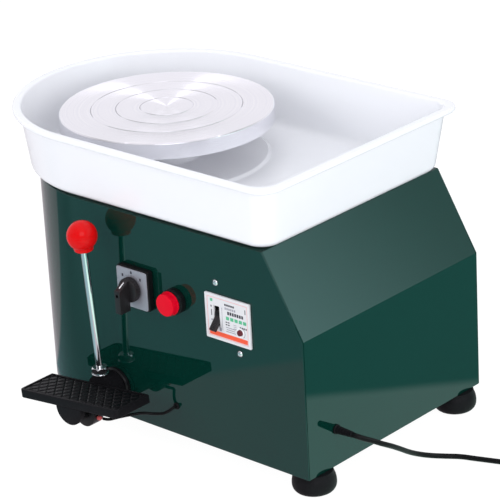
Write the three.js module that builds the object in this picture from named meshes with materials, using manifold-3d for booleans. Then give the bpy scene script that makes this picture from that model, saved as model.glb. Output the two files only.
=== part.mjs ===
// Table-top pottery wheel: painted steel cabinet, lift-off basin and wheel head,
// belt drive, side pedal with a hand lever, control panel and mains lead.
// Millimetres, +Z up. The whole object stands on z = 0.
import * as THREE from 'three';
import { mergeVertices } from 'three/addons/utils/BufferGeometryUtils.js';
import Module from 'manifold-3d';

const wasm = await Module();
wasm.setup();

// ---------------------------------------------------------------- driving dimensions
const gap = 0.3;                 // left between pieces that touch
const footHeight = 25.5;
const sheet = 1.5;               // cabinet sheet thickness
const cabinetHalfWidth = 151.9;  // also the radius of the round end
const cabinetRight = 328.8;
const slopeFootZ = 189.7;        // where the end panel turns into the slope
const slopeTopX = 275.7;
const deckZ = 281.6;             // top of the deck
const rimZ = 359.4;              // top of the basin's lip
const rimHalfWidth = 170;
const rimCentreX = -10.6;        // centre of the lip's round end
const rimRight = 302;
const basinBaseHalfWidth = 145.6;
const basinBaseCentreX = -13;
const basinBaseRight = 275.6;
const basinWall = 3;
const headRadius = 125;
const headTopZ = 347;
const headThickness = 19.9;
const bossRadius = 20;           // hub under the wheel head
const bossBottom = 300;
const drivePinRadius = 2.5;
const spindleRadius = 7.5;
const housingBoltCircle = 25;
const housingBoltCount = 4;
const drivenRadius = 62;
const motorPulleyRadius = 15;
const motorX = 188;
const pulleyZ = 128;             // underside of both pulleys
const pulleyHeight = 16;
const footSpotX = 313;           // right-hand feet
const footSpotY = 125.5;
const leftFootX = -58;
const leftFootY = 108;
const footRadius = 25;
const pivot = { x: 41, z: 62 };  // pedal pivot, along Y
const pedalTilt = THREE.MathUtils.degToRad(6.09);
const pedalLength = 158.5;
const pedalWidth = 53;
const pedalThickness = 10.5;
const pedalFrontY = -231;
const leadDiameter = 6;
const leadExit = new THREE.Vector3(cabinetRight, -104, 69.5);
const coilMid = 35.2;            // mean radius of the coil's turns
const coilColumns = 4;
const coilLayers = 2;
const turnPitch = 1.04 * leadDiameter;
const leadHeading = THREE.MathUtils.degToRad(20);
const coilTouch = { x: 480.5, y: 55.6 };   // where the lead meets its outer turn

const outerTurn = coilMid + (turnPitch * (coilColumns - 1)) / 2;
const coilCentre = {
  x: coilTouch.x - outerTurn * Math.sin(leadHeading),
  y: coilTouch.y + outerTurn * Math.cos(leadHeading),
};
const frontY = -cabinetHalfWidth;                    // outer face of the front panel
const insideY = frontY + sheet;
const pedalBackY = pedalFrontY + pedalWidth;
const machineLeft = rimCentreX - rimHalfWidth;
const machineRight = footSpotX + footRadius;

// ---------------------------------------------------------------- materials
const paint = (color, roughness, metalness) => (
  new THREE.MeshStandardMaterial({ color, roughness, metalness })
);
const greenPaint = paint(0x1f4440, 0.12, 0.0);
const whitePlastic = paint(0xf4f4f8, 0.22, 0.0);
const turnedAluminium = paint(0xdcdae4, 0.28, 1.0);
const steel = paint(0xb9bcc0, 0.35, 1.0);
const chrome = paint(0xe6e8ea, 0.08, 1.0);
const castIron = paint(0x4a4c50, 0.6, 0.8);
const blackRubber = paint(0x1c1b1d, 0.75, 0.0);
const blackPlastic = paint(0x17181a, 0.35, 0.0);
const redPlastic = paint(0xe02020, 0.25, 0.0);
const darkRedPlastic = paint(0x7a1018, 0.35, 0.0);
const redLens = paint(0xe8123a, 0.12, 0.0);
const silverPlate = paint(0xc8c8d0, 0.4, 0.8);
const blackMotor = paint(0x26282b, 0.5, 0.2);
const greyPlastic = paint(0x8a8d90, 0.5, 0.0);
const brass = paint(0xb5904a, 0.3, 1.0);

// ---------------------------------------------------------------- geometry helpers
// Merges shared vertices, drops slivers with no area and turns the faces outwards.
function closed(geometry) {
  const bare = geometry.clone();
  for (const name of Object.keys(bare.attributes)) {
    if (name !== 'position') bare.deleteAttribute(name);
  }
  const merged = mergeVertices(bare, 1e-4);
  const position = merged.getAttribute('position');
  const index = [];
  let volume = 0;
  const [a, b, c] = [new THREE.Vector3(), new THREE.Vector3(), new THREE.Vector3()];
  for (let i = 0; i < merged.index.count; i += 3) {
    const corner = [0, 1, 2].map((k) => merged.index.getX(i + k));
    if (new Set(corner).size < 3) continue;
    index.push(...corner);
    a.fromBufferAttribute(position, corner[0]);
    b.fromBufferAttribute(position, corner[1]);
    c.fromBufferAttribute(position, corner[2]);
    volume += a.dot(b.cross(c));
  }
  merged.setIndex(volume < 0 ? index.reverse() : index);
  return merged;
}

function toSolid(geometry) {
  const merged = closed(geometry);
  return new wasm.Manifold(new wasm.Mesh({
    numProp: 3,
    vertProperties: Float32Array.from(merged.getAttribute('position').array),
    triVerts: Uint32Array.from(merged.index.array),
  }));
}

function fromSolid(solid) {
  const mesh = solid.getMesh();
  const geometry = new THREE.BufferGeometry();
  geometry.setAttribute('position', new THREE.BufferAttribute(mesh.vertProperties, 3));
  geometry.setIndex(new THREE.BufferAttribute(mesh.triVerts, 1));
  return geometry;
}

function cut(geometry, ...tools) {
  const solid = tools.reduce((body, tool) => body.subtract(toSolid(tool)), toSolid(geometry));
  return fromSolid(solid);
}

function join(...geometries) {
  return fromSolid(geometries.map(toSolid).reduce((body, piece) => body.add(piece)));
}

function keep(geometry, region) {
  return fromSolid(toSolid(geometry).intersect(toSolid(region)));
}

function block([x0, x1], [y0, y1], [z0, z1]) {
  return new THREE.BoxGeometry(x1 - x0, y1 - y0, z1 - z0)
    .translate((x0 + x1) / 2, (y0 + y1) / 2, (z0 + z1) / 2);
}

function rodZ(radius, [z0, z1], x = 0, y = 0, sides = 24) {
  return new THREE.CylinderGeometry(radius, radius, z1 - z0, sides)
    .rotateX(Math.PI / 2).translate(x, y, (z0 + z1) / 2);
}

function rodY(radius, [y0, y1], x, z, sides = 24) {
  return new THREE.CylinderGeometry(radius, radius, y1 - y0, sides).translate(x, (y0 + y1) / 2, z);
}

function rodX(radius, [x0, x1], y, z, sides = 24) {
  return new THREE.CylinderGeometry(radius, radius, x1 - x0, sides)
    .rotateZ(Math.PI / 2).translate((x0 + x1) / 2, y, z);
}

// Turns a profile of [radius, height] points about the Z axis.
function turned(profile, sides = 32) {
  const points = profile.map(([r, z]) => new THREE.Vector2(r, z));
  return new THREE.LatheGeometry(points, sides).rotateX(Math.PI / 2);
}

function ring(inner, outer, [z0, z1], sides = 32) {
  return turned([[inner, z0], [outer, z0], [outer, z1], [inner, z1], [inner, z0]], sides);
}

// Extrudes a plan outline upwards.
function plate(shape, [z0, z1]) {
  return new THREE.ExtrudeGeometry(shape, { depth: z1 - z0, bevelEnabled: false }).translate(0, 0, z0);
}

// Extrudes an outline drawn in X and Z along Y.
function sideways(shape, [y0, y1]) {
  return new THREE.ExtrudeGeometry(shape, { depth: y1 - y0, bevelEnabled: false })
    .rotateX(Math.PI / 2).translate(0, y1, 0);
}

function polygon(points) {
  return new THREE.Shape(points.map(([x, y]) => new THREE.Vector2(x, y)));
}

// Plan loop with a half-round left end, straight sides and rounded right corners.
const sideSteps = 5;
const cornerSteps = 4;
const endSteps = 6;
const arcSteps = 24;
function dLoop(halfWidth, centreX, right, corner) {
  const loop = [];
  const line = (x0, y0, x1, y1, steps) => {
    for (let i = 0; i < steps; i += 1) {
      loop.push(new THREE.Vector2(x0 + (x1 - x0) * (i / steps), y0 + (y1 - y0) * (i / steps)));
    }
  };
  const arc = (x, y, radius, from, to, steps) => {
    for (let i = 0; i < steps; i += 1) {
      const angle = from + (to - from) * (i / steps);
      loop.push(new THREE.Vector2(x + radius * Math.cos(angle), y + radius * Math.sin(angle)));
    }
  };
  const inX = right - corner;
  const inY = halfWidth - corner;
  line(centreX, -halfWidth, inX, -halfWidth, sideSteps);
  arc(inX, -inY, corner, -Math.PI / 2, 0, cornerSteps);
  line(right, -inY, right, inY, endSteps);
  arc(inX, inY, corner, 0, Math.PI / 2, cornerSteps);
  line(inX, halfWidth, centreX, halfWidth, sideSteps);
  arc(centreX, 0, halfWidth, Math.PI / 2, 1.5 * Math.PI, arcSteps);
  return loop;
}

// Half-round outline with square right corners, for the cabinet's sheets.
function dShape(halfWidth, right) {
  const shape = new THREE.Shape();
  shape.moveTo(0, -halfWidth);
  shape.lineTo(right, -halfWidth);
  shape.lineTo(right, halfWidth);
  shape.lineTo(0, halfWidth);
  shape.absarc(0, 0, halfWidth, Math.PI / 2, 1.5 * Math.PI, false);
  return shape;
}

function cabinetPlan(halfWidth, right, heights) {
  const arcDivisions = 32;
  return new THREE.ExtrudeGeometry(dShape(halfWidth, right), {
    depth: heights[1] - heights[0], bevelEnabled: false, curveSegments: arcDivisions,
  }).translate(0, 0, heights[0]);
}

// Skins a stack of equal-length loops of 3-D points into a ring-shaped closed body.
function skinned(loops) {
  const count = loops[0].length;
  const positions = loops.flat().flatMap((p) => [p.x, p.y, p.z]);
  const index = [];
  loops.forEach((_, i) => {
    const here = i * count;
    const next = ((i + 1) % loops.length) * count;
    for (let k = 0; k < count; k += 1) {
      const l = (k + 1) % count;
      index.push(here + k, here + l, next + l, here + k, next + l, next + k);
    }
  });
  const geometry = new THREE.BufferGeometry();
  geometry.setAttribute('position', new THREE.Float32BufferAttribute(positions, 3));
  geometry.setIndex(index);
  return geometry;
}

// Round bar along a smooth curve through the given points.
function tube(points, radius, sides, steps) {
  const section = new THREE.Shape();
  section.absarc(0, 0, radius, 0, 2 * Math.PI, false);
  return new THREE.ExtrudeGeometry(new THREE.Shape(section.getPoints(sides).slice(0, sides)), {
    steps, bevelEnabled: false, extrudePath: new THREE.CatmullRomCurve3(points, false, 'centripetal'),
  });
}

// ---------------------------------------------------------------- assembly
const group = new THREE.Group();
const machine = new THREE.Group();   // its own origin is on the wheel's axis, at floor level
machine.position.set(-(machineLeft + machineRight) / 2, -(pedalFrontY + rimHalfWidth) / 2, 0);
group.add(machine);

function add(name, geometry, material, parent = machine) {
  const mesh = new THREE.Mesh(closed(geometry), material);
  mesh.name = name;
  parent.add(mesh);
  return mesh;
}

// ---------------------------------------------------------------- panel layout
const switchAt = { x: 87, z: 196.5 };
const lampAt = { x: 145, z: 193.5 };
const breakerAt = { x: 224, z: 190.2 };
const breakerSize = { width: 65.5, height: 53.5 };
const breakerCutout = { width: 58, height: 46 };
const lampHole = 11.3;
const switchHole = 6;
const cableHole = { x: 135, z: 61.5 };
const cableRadius = 1.8;
const shaftRadius = 4;

// Places round the spindle where the bearing housing is bolted to the deck.
const housingBolts = Array.from({ length: housingBoltCount }, (_, i) => {
  const angle = Math.PI / 4 + (2 * Math.PI * i) / housingBoltCount;
  return { x: housingBoltCircle * Math.cos(angle), y: housingBoltCircle * Math.sin(angle) };
});
const boltShank = 2.4;
const boltHoles = (heights) => housingBolts.map(({ x, y }) => rodZ(boltShank + 0.35, heights, x, y, 10));

// ---------------------------------------------------------------- cabinet
function buildCabinet() {
  const through = [frontY - 1, insideY + 1];
  const side = polygon([
    [-2 * cabinetHalfWidth, footHeight], [cabinetRight, footHeight], [cabinetRight, slopeFootZ],
    [slopeTopX, deckZ], [-2 * cabinetHalfWidth, deckZ],
  ]);
  const sideRegion = sideways(side, [-cabinetHalfWidth - 1, cabinetHalfWidth + 1]);
  const full = [footHeight, deckZ];
  const hollow = cabinetPlan(cabinetHalfWidth - sheet, cabinetRight + 1, [footHeight - 1, deckZ + 1]);
  const wrap = cut(
    keep(cabinetPlan(cabinetHalfWidth, cabinetRight, full), sideRegion),
    hollow,
    rodY(switchHole, through, switchAt.x, switchAt.z, 16),
    rodY(lampHole, through, lampAt.x, lampAt.z, 20),
    block(
      [breakerAt.x - breakerCutout.width / 2, breakerAt.x + breakerCutout.width / 2],
      through,
      [breakerAt.z - breakerCutout.height / 2, breakerAt.z + breakerCutout.height / 2],
    ),
    rodY(cableRadius + 2.5, through, cableHole.x, cableHole.z, 12),
    rodY(shaftRadius + gap, through, pivot.x, pivot.z, 16),
  );
  add('cabinet_wrap', wrap, greenPaint);

  // One sheet bent once: the upright end and the slope above it.
  const slope = new THREE.Vector2(slopeTopX - cabinetRight, deckZ - slopeFootZ).normalize();
  const inward = new THREE.Vector2(-slope.y, slope.x).multiplyScalar(sheet);
  const bendShift = sheet * Math.tan(Math.acos(slope.y) / 2);
  const endProfile = polygon([
    [cabinetRight - sheet, footHeight], [cabinetRight, footHeight], [cabinetRight, slopeFootZ],
    [slopeTopX, deckZ], [slopeTopX + inward.x / slope.y, deckZ],
    [cabinetRight - sheet, slopeFootZ - bendShift],
  ]);
  const panelHalf = cabinetHalfWidth - sheet - gap;
  const cordHoleRadius = 5;
  const cordHole = rodX(cordHoleRadius, [cabinetRight - 5, cabinetRight + 5], leadExit.y, leadExit.z, 12);
  add('end_panel', cut(sideways(endProfile, [-panelHalf, panelHalf]), cordHole), greenPaint);

  const deckRight = slopeTopX - 2.2;
  const spindleHole = 12;
  const deck = cut(
    cabinetPlan(panelHalf, deckRight, [deckZ - sheet, deckZ]),
    rodZ(spindleHole, [deckZ - 5, deckZ + 5]),
    ...boltHoles([deckZ - 5, deckZ + 5]),
  );
  add('top_deck', deck, greenPaint);

  const plateHeights = [footHeight, footHeight + sheet];
  const base = cabinetPlan(panelHalf, cabinetRight - sheet - gap, plateHeights);
  const airHole = { sides: [66, 132], depth: [74, 116] };
  const airCut = block(airHole.sides, airHole.depth, [footHeight - 1, footHeight + sheet + 1]);
  add('base_plate', cut(base, airCut), blackMotor);

  const footProfile = [
    [0, 0], [16, 0], [21, 2], [24, 6], [footRadius, 11], [24, 18], [21.5, footHeight - gap],
    [0, footHeight - gap],
  ];
  const spots = {
    foot_front_right: [footSpotX, -footSpotY],
    foot_rear_right: [footSpotX, footSpotY],
    foot_front_left: [leftFootX, -leftFootY],
    foot_rear_left: [leftFootX, leftFootY],
  };
  for (const [name, [x, y]] of Object.entries(spots)) {
    add(name, turned(footProfile, 20), blackRubber).position.set(x, y, 0);
  }
}

// ---------------------------------------------------------------- basin
function buildBasin() {
  const bottom = deckZ + gap;
  const floor = bottom + basinWall;
  const plateauRise = 3;
  const plateauRadius = 119;
  const collarInner = 31;
  const collarOuter = 34;
  const collarTop = 313;
  const outline = (halfWidth, z) => {
    const t = (halfWidth - basinBaseHalfWidth) / (rimHalfWidth - basinBaseHalfWidth);
    const mix = (from, to) => THREE.MathUtils.lerp(from, to, t);
    const corner = Math.max(4, mix(20, 26));
    const centreX = mix(basinBaseCentreX, rimCentreX);
    const right = mix(basinBaseRight, rimRight);
    return dLoop(halfWidth, centreX, right, corner).map((p) => new THREE.Vector3(p.x, p.y, z));
  };
  // Rings round the wheel's axis keep the outline's own directions, so the two join without a twist.
  const directions = dLoop(basinBaseHalfWidth, basinBaseCentreX, basinBaseRight, 20);
  const circle = (radius, z) => directions.map((p) => {
    const d = p.clone().normalize().multiplyScalar(radius);
    return new THREE.Vector3(d.x, d.y, z);
  });
  const wallTop = rimHalfWidth - 8;     // inner face, just under the lip
  const wallFoot = basinBaseHalfWidth + 7.5;
  const base = basinBaseHalfWidth;
  const loops = [
    circle(collarInner, bottom + plateauRise),
    circle(plateauRadius - 4, bottom + plateauRise),
    circle(plateauRadius, bottom),
    outline(base - 5, bottom),
    outline(base + 1, bottom + 1.5),
    outline(base + 5, bottom + 5),
    outline(wallFoot, bottom + 11),
    outline(wallTop - 0.5, rimZ - 6),
    outline(rimHalfWidth - 2, rimZ - 6),
    outline(rimHalfWidth, rimZ - 4),
    outline(rimHalfWidth - 0.5, rimZ - 1.2),
    outline(rimHalfWidth - 3, rimZ),
    outline(wallTop, rimZ),
    outline(wallTop - basinWall, rimZ - 4),
    outline(wallFoot - basinWall, bottom + 12),
    outline(base + 1, floor + 3),
    outline(base - 6, floor),
    circle(plateauRadius, floor),
    circle(plateauRadius - 4, floor + plateauRise),
    circle(collarOuter, floor + plateauRise),
    circle(collarOuter, collarTop),
    circle(collarInner, collarTop),
  ];
  add('basin', skinned(loops), whitePlastic);
}

// ---------------------------------------------------------------- wheel head and spindle
function buildHead() {
  const bottom = headTopZ - headThickness;
  const boreRadius = spindleRadius + 0.4;
  const boreTop = headTopZ - 8;
  const grooveDepth = 0.8;
  const grooveHalf = 0.9;
  const grooveRadii = [31, 59, 88];
  const top = grooveRadii.flatMap((r) => [
    [r - grooveHalf, headTopZ], [r, headTopZ - grooveDepth], [r + grooveHalf, headTopZ],
  ]);
  const profile = [
    [0, headTopZ], ...top, [headRadius - 1.5, headTopZ], [headRadius, headTopZ - 1.5],
    [headRadius, bottom + 1], [headRadius - 1, bottom], [headRadius - 9, bottom],
    [headRadius - 11, bottom + 8], [bossRadius + 8, bottom + 8], [bossRadius, bottom + 2],
    [bossRadius, bossBottom], [boreRadius, bossBottom], [boreRadius, boreTop], [0, boreTop],
  ];
  const pinSlot = { half: drivePinRadius + 0.5, top: bossBottom + 8 };
  const slot = block(
    [-bossRadius - 1, bossRadius + 1],
    [-pinSlot.half, pinSlot.half],
    [bossBottom - 1, pinSlot.top],
  );
  add('wheel_head', cut(turned(profile, 60), slot), turnedAluminium);

  const spindleTop = boreTop - 1;
  const spindleBottom = pulleyZ - 8;
  const shoulder = 13;
  const spindle = turned([
    [0, spindleBottom], [spindleRadius, spindleBottom], [spindleRadius, deckZ + 4],
    [shoulder - 4, deckZ + 4], [shoulder - 4, deckZ + 10], [spindleRadius, deckZ + 10],
    [spindleRadius, spindleTop - 2], [spindleRadius - 2, spindleTop], [0, spindleTop],
  ], 20);
  const pinZ = bossBottom + 4;
  const pinHalfLength = bossRadius - 2;
  const pinHole = rodX(drivePinRadius + gap, [-bossRadius, bossRadius], 0, pinZ, 12);
  add('spindle', cut(spindle, pinHole), steel);
  add('drive_pin', rodX(drivePinRadius, [-pinHalfLength, pinHalfLength], 0, pinZ, 12), steel);
}

// ---------------------------------------------------------------- bearings under the deck
function buildBearings() {
  const flangeTop = deckZ - sheet - gap;
  const flangeBottom = flangeTop - 6;
  const tubeBottom = 190;
  const flangeRadius = 34;
  const tubeRadius = 20.5;
  const seat = 16.3;
  const housing = turned([
    [seat, flangeTop], [flangeRadius, flangeTop], [flangeRadius, flangeBottom],
    [tubeRadius, flangeBottom], [tubeRadius, tubeBottom], [seat, tubeBottom], [seat, flangeTop],
  ]);
  add('bearing_housing', cut(housing, ...boltHoles([flangeBottom - 1, flangeTop + 1])), castIron);
  const race = [spindleRadius + gap, seat - gap];
  const inset = 3;
  const bearingWidth = 9;
  add('upper_bearing', ring(...race, [flangeTop - inset - bearingWidth, flangeTop - inset], 28), chrome);
  add('lower_bearing', ring(...race, [tubeBottom + inset, tubeBottom + inset + bearingWidth], 28), chrome);
  const head = { radius: 4, height: 3 };
  const shankBottom = flangeBottom - 4;
  housingBolts.forEach(({ x, y }, i) => {
    const bolt = turned([
      [0, shankBottom], [boltShank, shankBottom], [boltShank, deckZ + gap], [head.radius, deckZ + gap],
      [head.radius, deckZ + head.height], [0, deckZ + head.height],
    ], 10);
    add(`bearing_bolt_${i + 1}`, bolt, steel).position.set(x, y, 0);
  });
}

// ---------------------------------------------------------------- belt drive and motor
const pulleyGroove = 5;
function pulley(radius, bore, height) {
  const flange = 3;
  return turned([
    [bore, pulleyZ], [radius, pulleyZ], [radius, pulleyZ + flange],
    [radius - pulleyGroove, pulleyZ + flange + 1],
    [radius - pulleyGroove, pulleyZ + height - flange - 1], [radius, pulleyZ + height - flange],
    [radius, pulleyZ + height], [bore, pulleyZ + height], [bore, pulleyZ],
  ], radius > 30 ? 40 : 24);
}

// Outline of a belt stretched round two discs on the X axis.
function beltLoop(bigRadius, smallRadius, distance) {
  const lean = Math.asin((bigRadius - smallRadius) / distance);
  const steps = 16;
  const wrap = (radius, x, from, to) => Array.from({ length: steps + 1 }, (_, i) => {
    const angle = from + ((to - from) * i) / steps;
    return new THREE.Vector2(x + radius * Math.cos(angle), radius * Math.sin(angle));
  });
  const tangent = Math.PI / 2 - lean;
  return [
    ...wrap(bigRadius, 0, tangent, 2 * Math.PI - tangent),
    ...wrap(smallRadius, distance, -tangent, tangent),
  ];
}

function buildDrive() {
  add('driven_pulley', pulley(drivenRadius, spindleRadius + gap, pulleyHeight), castIron);
  const beltThickness = 4;
  const beltClearance = 0.9;
  const beltInset = 4.6;         // from the pulleys' faces to the belt's edges
  const inner = [drivenRadius, motorPulleyRadius].map((radius) => radius - pulleyGroove + beltClearance);
  const belt = new THREE.Shape(beltLoop(inner[0] + beltThickness, inner[1] + beltThickness, motorX));
  belt.holes.push(new THREE.Path(beltLoop(inner[0], inner[1], motorX).reverse()));
  const beltHeights = [pulleyZ + beltInset, pulleyZ + pulleyHeight - beltInset];
  add('drive_belt', plate(belt, beltHeights), blackRubber);

  const shaft = 5;
  const shaftBore = shaft + 1;
  const canRadius = 48;
  const motorTop = 118;
  const capBottom = motorTop - 12;
  const shaftBottom = motorTop - 20;
  const wellBottom = shaftBottom - 10;
  const bracketBottom = footHeight + sheet + gap;
  const bracketTop = bracketBottom + 4;
  const motorBottom = bracketTop + gap;
  const bracketHalf = { x: 60, y: 52 };
  add('motor_pulley', pulley(motorPulleyRadius, shaft + gap, pulleyHeight), steel).position.x = motorX;
  add('motor_shaft', rodZ(shaft, [shaftBottom, pulleyZ + pulleyHeight + 3], motorX, 0, 16), steel);
  const can = turned([
    [0, motorBottom], [canRadius - 4, motorBottom], [canRadius, motorBottom + 5],
    [canRadius, capBottom - gap], [shaftBore, capBottom - gap], [shaftBore, wellBottom], [0, wellBottom],
  ]);
  add('motor_housing', can, blackMotor).position.x = motorX;
  const cap = turned([
    [shaftBore, capBottom], [canRadius, capBottom], [canRadius - 2, capBottom + 8], [20, motorTop],
    [shaftBore, motorTop], [shaftBore, capBottom],
  ]);
  add('motor_end_cap', cap, silverPlate).position.x = motorX;
  const bracket = block(
    [motorX - bracketHalf.x, motorX + bracketHalf.x],
    [-bracketHalf.y, bracketHalf.y],
    [bracketBottom, bracketTop],
  );
  add('motor_bracket', bracket, steel);
  const controllerHeight = 45;
  const controller = block([262, 318], [40, 128], [bracketBottom, bracketBottom + controllerHeight]);
  add('controller_box', controller, greyPlastic);
}

// ---------------------------------------------------------------- rotary switch
function buildSwitch() {
  const { x, z } = switchAt;
  const plateHalf = 23;
  const baseHalf = plateHalf + 1.2;
  const square = (size, depth) => block([x - size, x + size], depth, [z - size, z + size]);
  const stemHole = rodY(switchHole, [frontY - 20, frontY + 1], x, z, 16);
  const baseFront = frontY - 8;
  add('switch_base', cut(square(baseHalf, [baseFront, frontY - gap]), stemHole), blackPlastic);
  const plateFront = frontY - 10;
  add('switch_plate', cut(square(plateHalf, [plateFront, baseFront - gap]), stemHole), silverPlate);
  const body = { half: 22, depth: 48 };
  const stem = rodY(switchHole - 1, [frontY - 7, insideY + 1], x, z, 16);
  const bodyBlock = square(body.half, [insideY + gap, insideY + body.depth]);
  add('switch_body', join(bodyBlock, stem), blackPlastic);

  // A round skirt with an upright wing handle across it, its top sloping forwards and down.
  const skirtRadius = 14.5;
  const skirtFront = plateFront - 9;
  const wing = { front: plateFront - 24, thick: 8, low: -23, topBack: 14, topFront: 4.5 };
  const skirt = rodY(skirtRadius, [skirtFront, plateFront - 0.8], x, z, 32);
  const wingProfile = polygon([
    [skirtFront + 1, wing.low], [skirtFront + 1, wing.topBack],
    [wing.front, wing.topFront], [wing.front, wing.low],
  ]);
  const handle = new THREE.ExtrudeGeometry(wingProfile, { depth: wing.thick, bevelEnabled: false })
    .rotateX(Math.PI / 2).rotateZ(Math.PI / 2).translate(x - wing.thick / 2, 0, z);
  add('switch_knob', join(skirt, handle), blackPlastic);
}

// ---------------------------------------------------------------- pilot lamp
function buildLamp() {
  const { x, z } = lampAt;
  const bezelRadius = 15;
  const bezelFront = frontY - 9.7;
  const lens = { radius: 14, shoulder: 13.4, face: 12.4, height: 9 };
  add('lamp_bezel', rodY(bezelRadius, [bezelFront, frontY - gap], x, z, 32), blackPlastic);
  const lensSolid = turned([
    [0, 0], [lens.radius, 0], [lens.shoulder, lens.height - 1], [lens.face, lens.height], [0, lens.height],
  ]).rotateX(Math.PI / 2);
  add('lamp_lens', lensSolid, redLens).position.set(x, bezelFront - gap, z);
  const bodyDepth = 42;
  add('lamp_body', rodY(lampHole - gap, [frontY, frontY + bodyDepth], x, z, 20), blackPlastic);
}

// ---------------------------------------------------------------- circuit breaker
function buildBreaker() {
  const { x, z } = breakerAt;
  const { width, height } = breakerSize;
  const faceFront = frontY - 3;
  const slot = { x: x - 15.8, z: z + 1.4, halfWidth: 4.2, halfHeight: 12, pocketHalf: 14 };
  const button = { x: x + 18, z: z - 10, radius: 3.4, well: 8 };
  const slotColumn = (depth, half) => block(
    [slot.x - slot.halfWidth, slot.x + slot.halfWidth],
    depth,
    [slot.z - half, slot.z + half],
  );
  const wellEnd = frontY + button.well;
  const buttonHole = rodY(button.radius + gap, [faceFront - 1, wellEnd], button.x, button.z, 20);
  const face = block(
    [x - width / 2, x + width / 2],
    [faceFront, frontY - gap],
    [z - height / 2, z + height / 2],
  );
  const slotHole = slotColumn([faceFront - 1, frontY + 1], slot.halfHeight);
  add('breaker_face', cut(face, slotHole, buttonHole), whitePlastic);

  const depth = { body: 46, pocket: 16 };
  const half = { width: breakerCutout.width / 2 - gap, height: breakerCutout.height / 2 - gap };
  const body = block(
    [x - half.width, x + half.width],
    [frontY + gap, frontY + depth.body],
    [z - half.height, z + half.height],
  );
  const pocket = slotColumn([frontY - 1, frontY + depth.pocket], slot.pocketHalf);
  add('breaker_body', cut(body, pocket, buttonHole), blackPlastic);

  // The toggle hangs from a pivot along X; its handle points down and outwards when off.
  const toggle = { half: 3.8, hub: 5, reach: 21.5, halfThick: 2.8, depth: 3, rise: 1.4 };
  const toggleDroop = THREE.MathUtils.degToRad(49.5);
  const toggleSolid = join(
    rodX(toggle.hub, [-toggle.half, toggle.half], 0, 0, 16),
    block([-toggle.half, toggle.half], [-toggle.reach, 0], [-toggle.halfThick, toggle.halfThick]),
  ).rotateX(toggleDroop);
  add('breaker_toggle', toggleSolid, blackPlastic)
    .position.set(slot.x, frontY + toggle.depth, slot.z + toggle.rise);
  const buttonSolid = rodY(button.radius, [faceFront - 2.2, wellEnd - 3], button.x, button.z, 20);
  add('breaker_test_button', buttonSolid, darkRedPlastic);

  const screws = { breaker_screw_upper: [x - 17, z + 39.8], breaker_screw_lower: [x + 14, z - 36.7] };
  for (const [name, [screwX, screwZ]] of Object.entries(screws)) {
    const screw = turned([[0, gap], [3.6, gap], [3.1, 1.6], [1.5, 2.4], [0, 2.5]], 16).rotateX(Math.PI / 2);
    add(name, screw, chrome).position.set(screwX, frontY, screwZ);
  }
}

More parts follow.
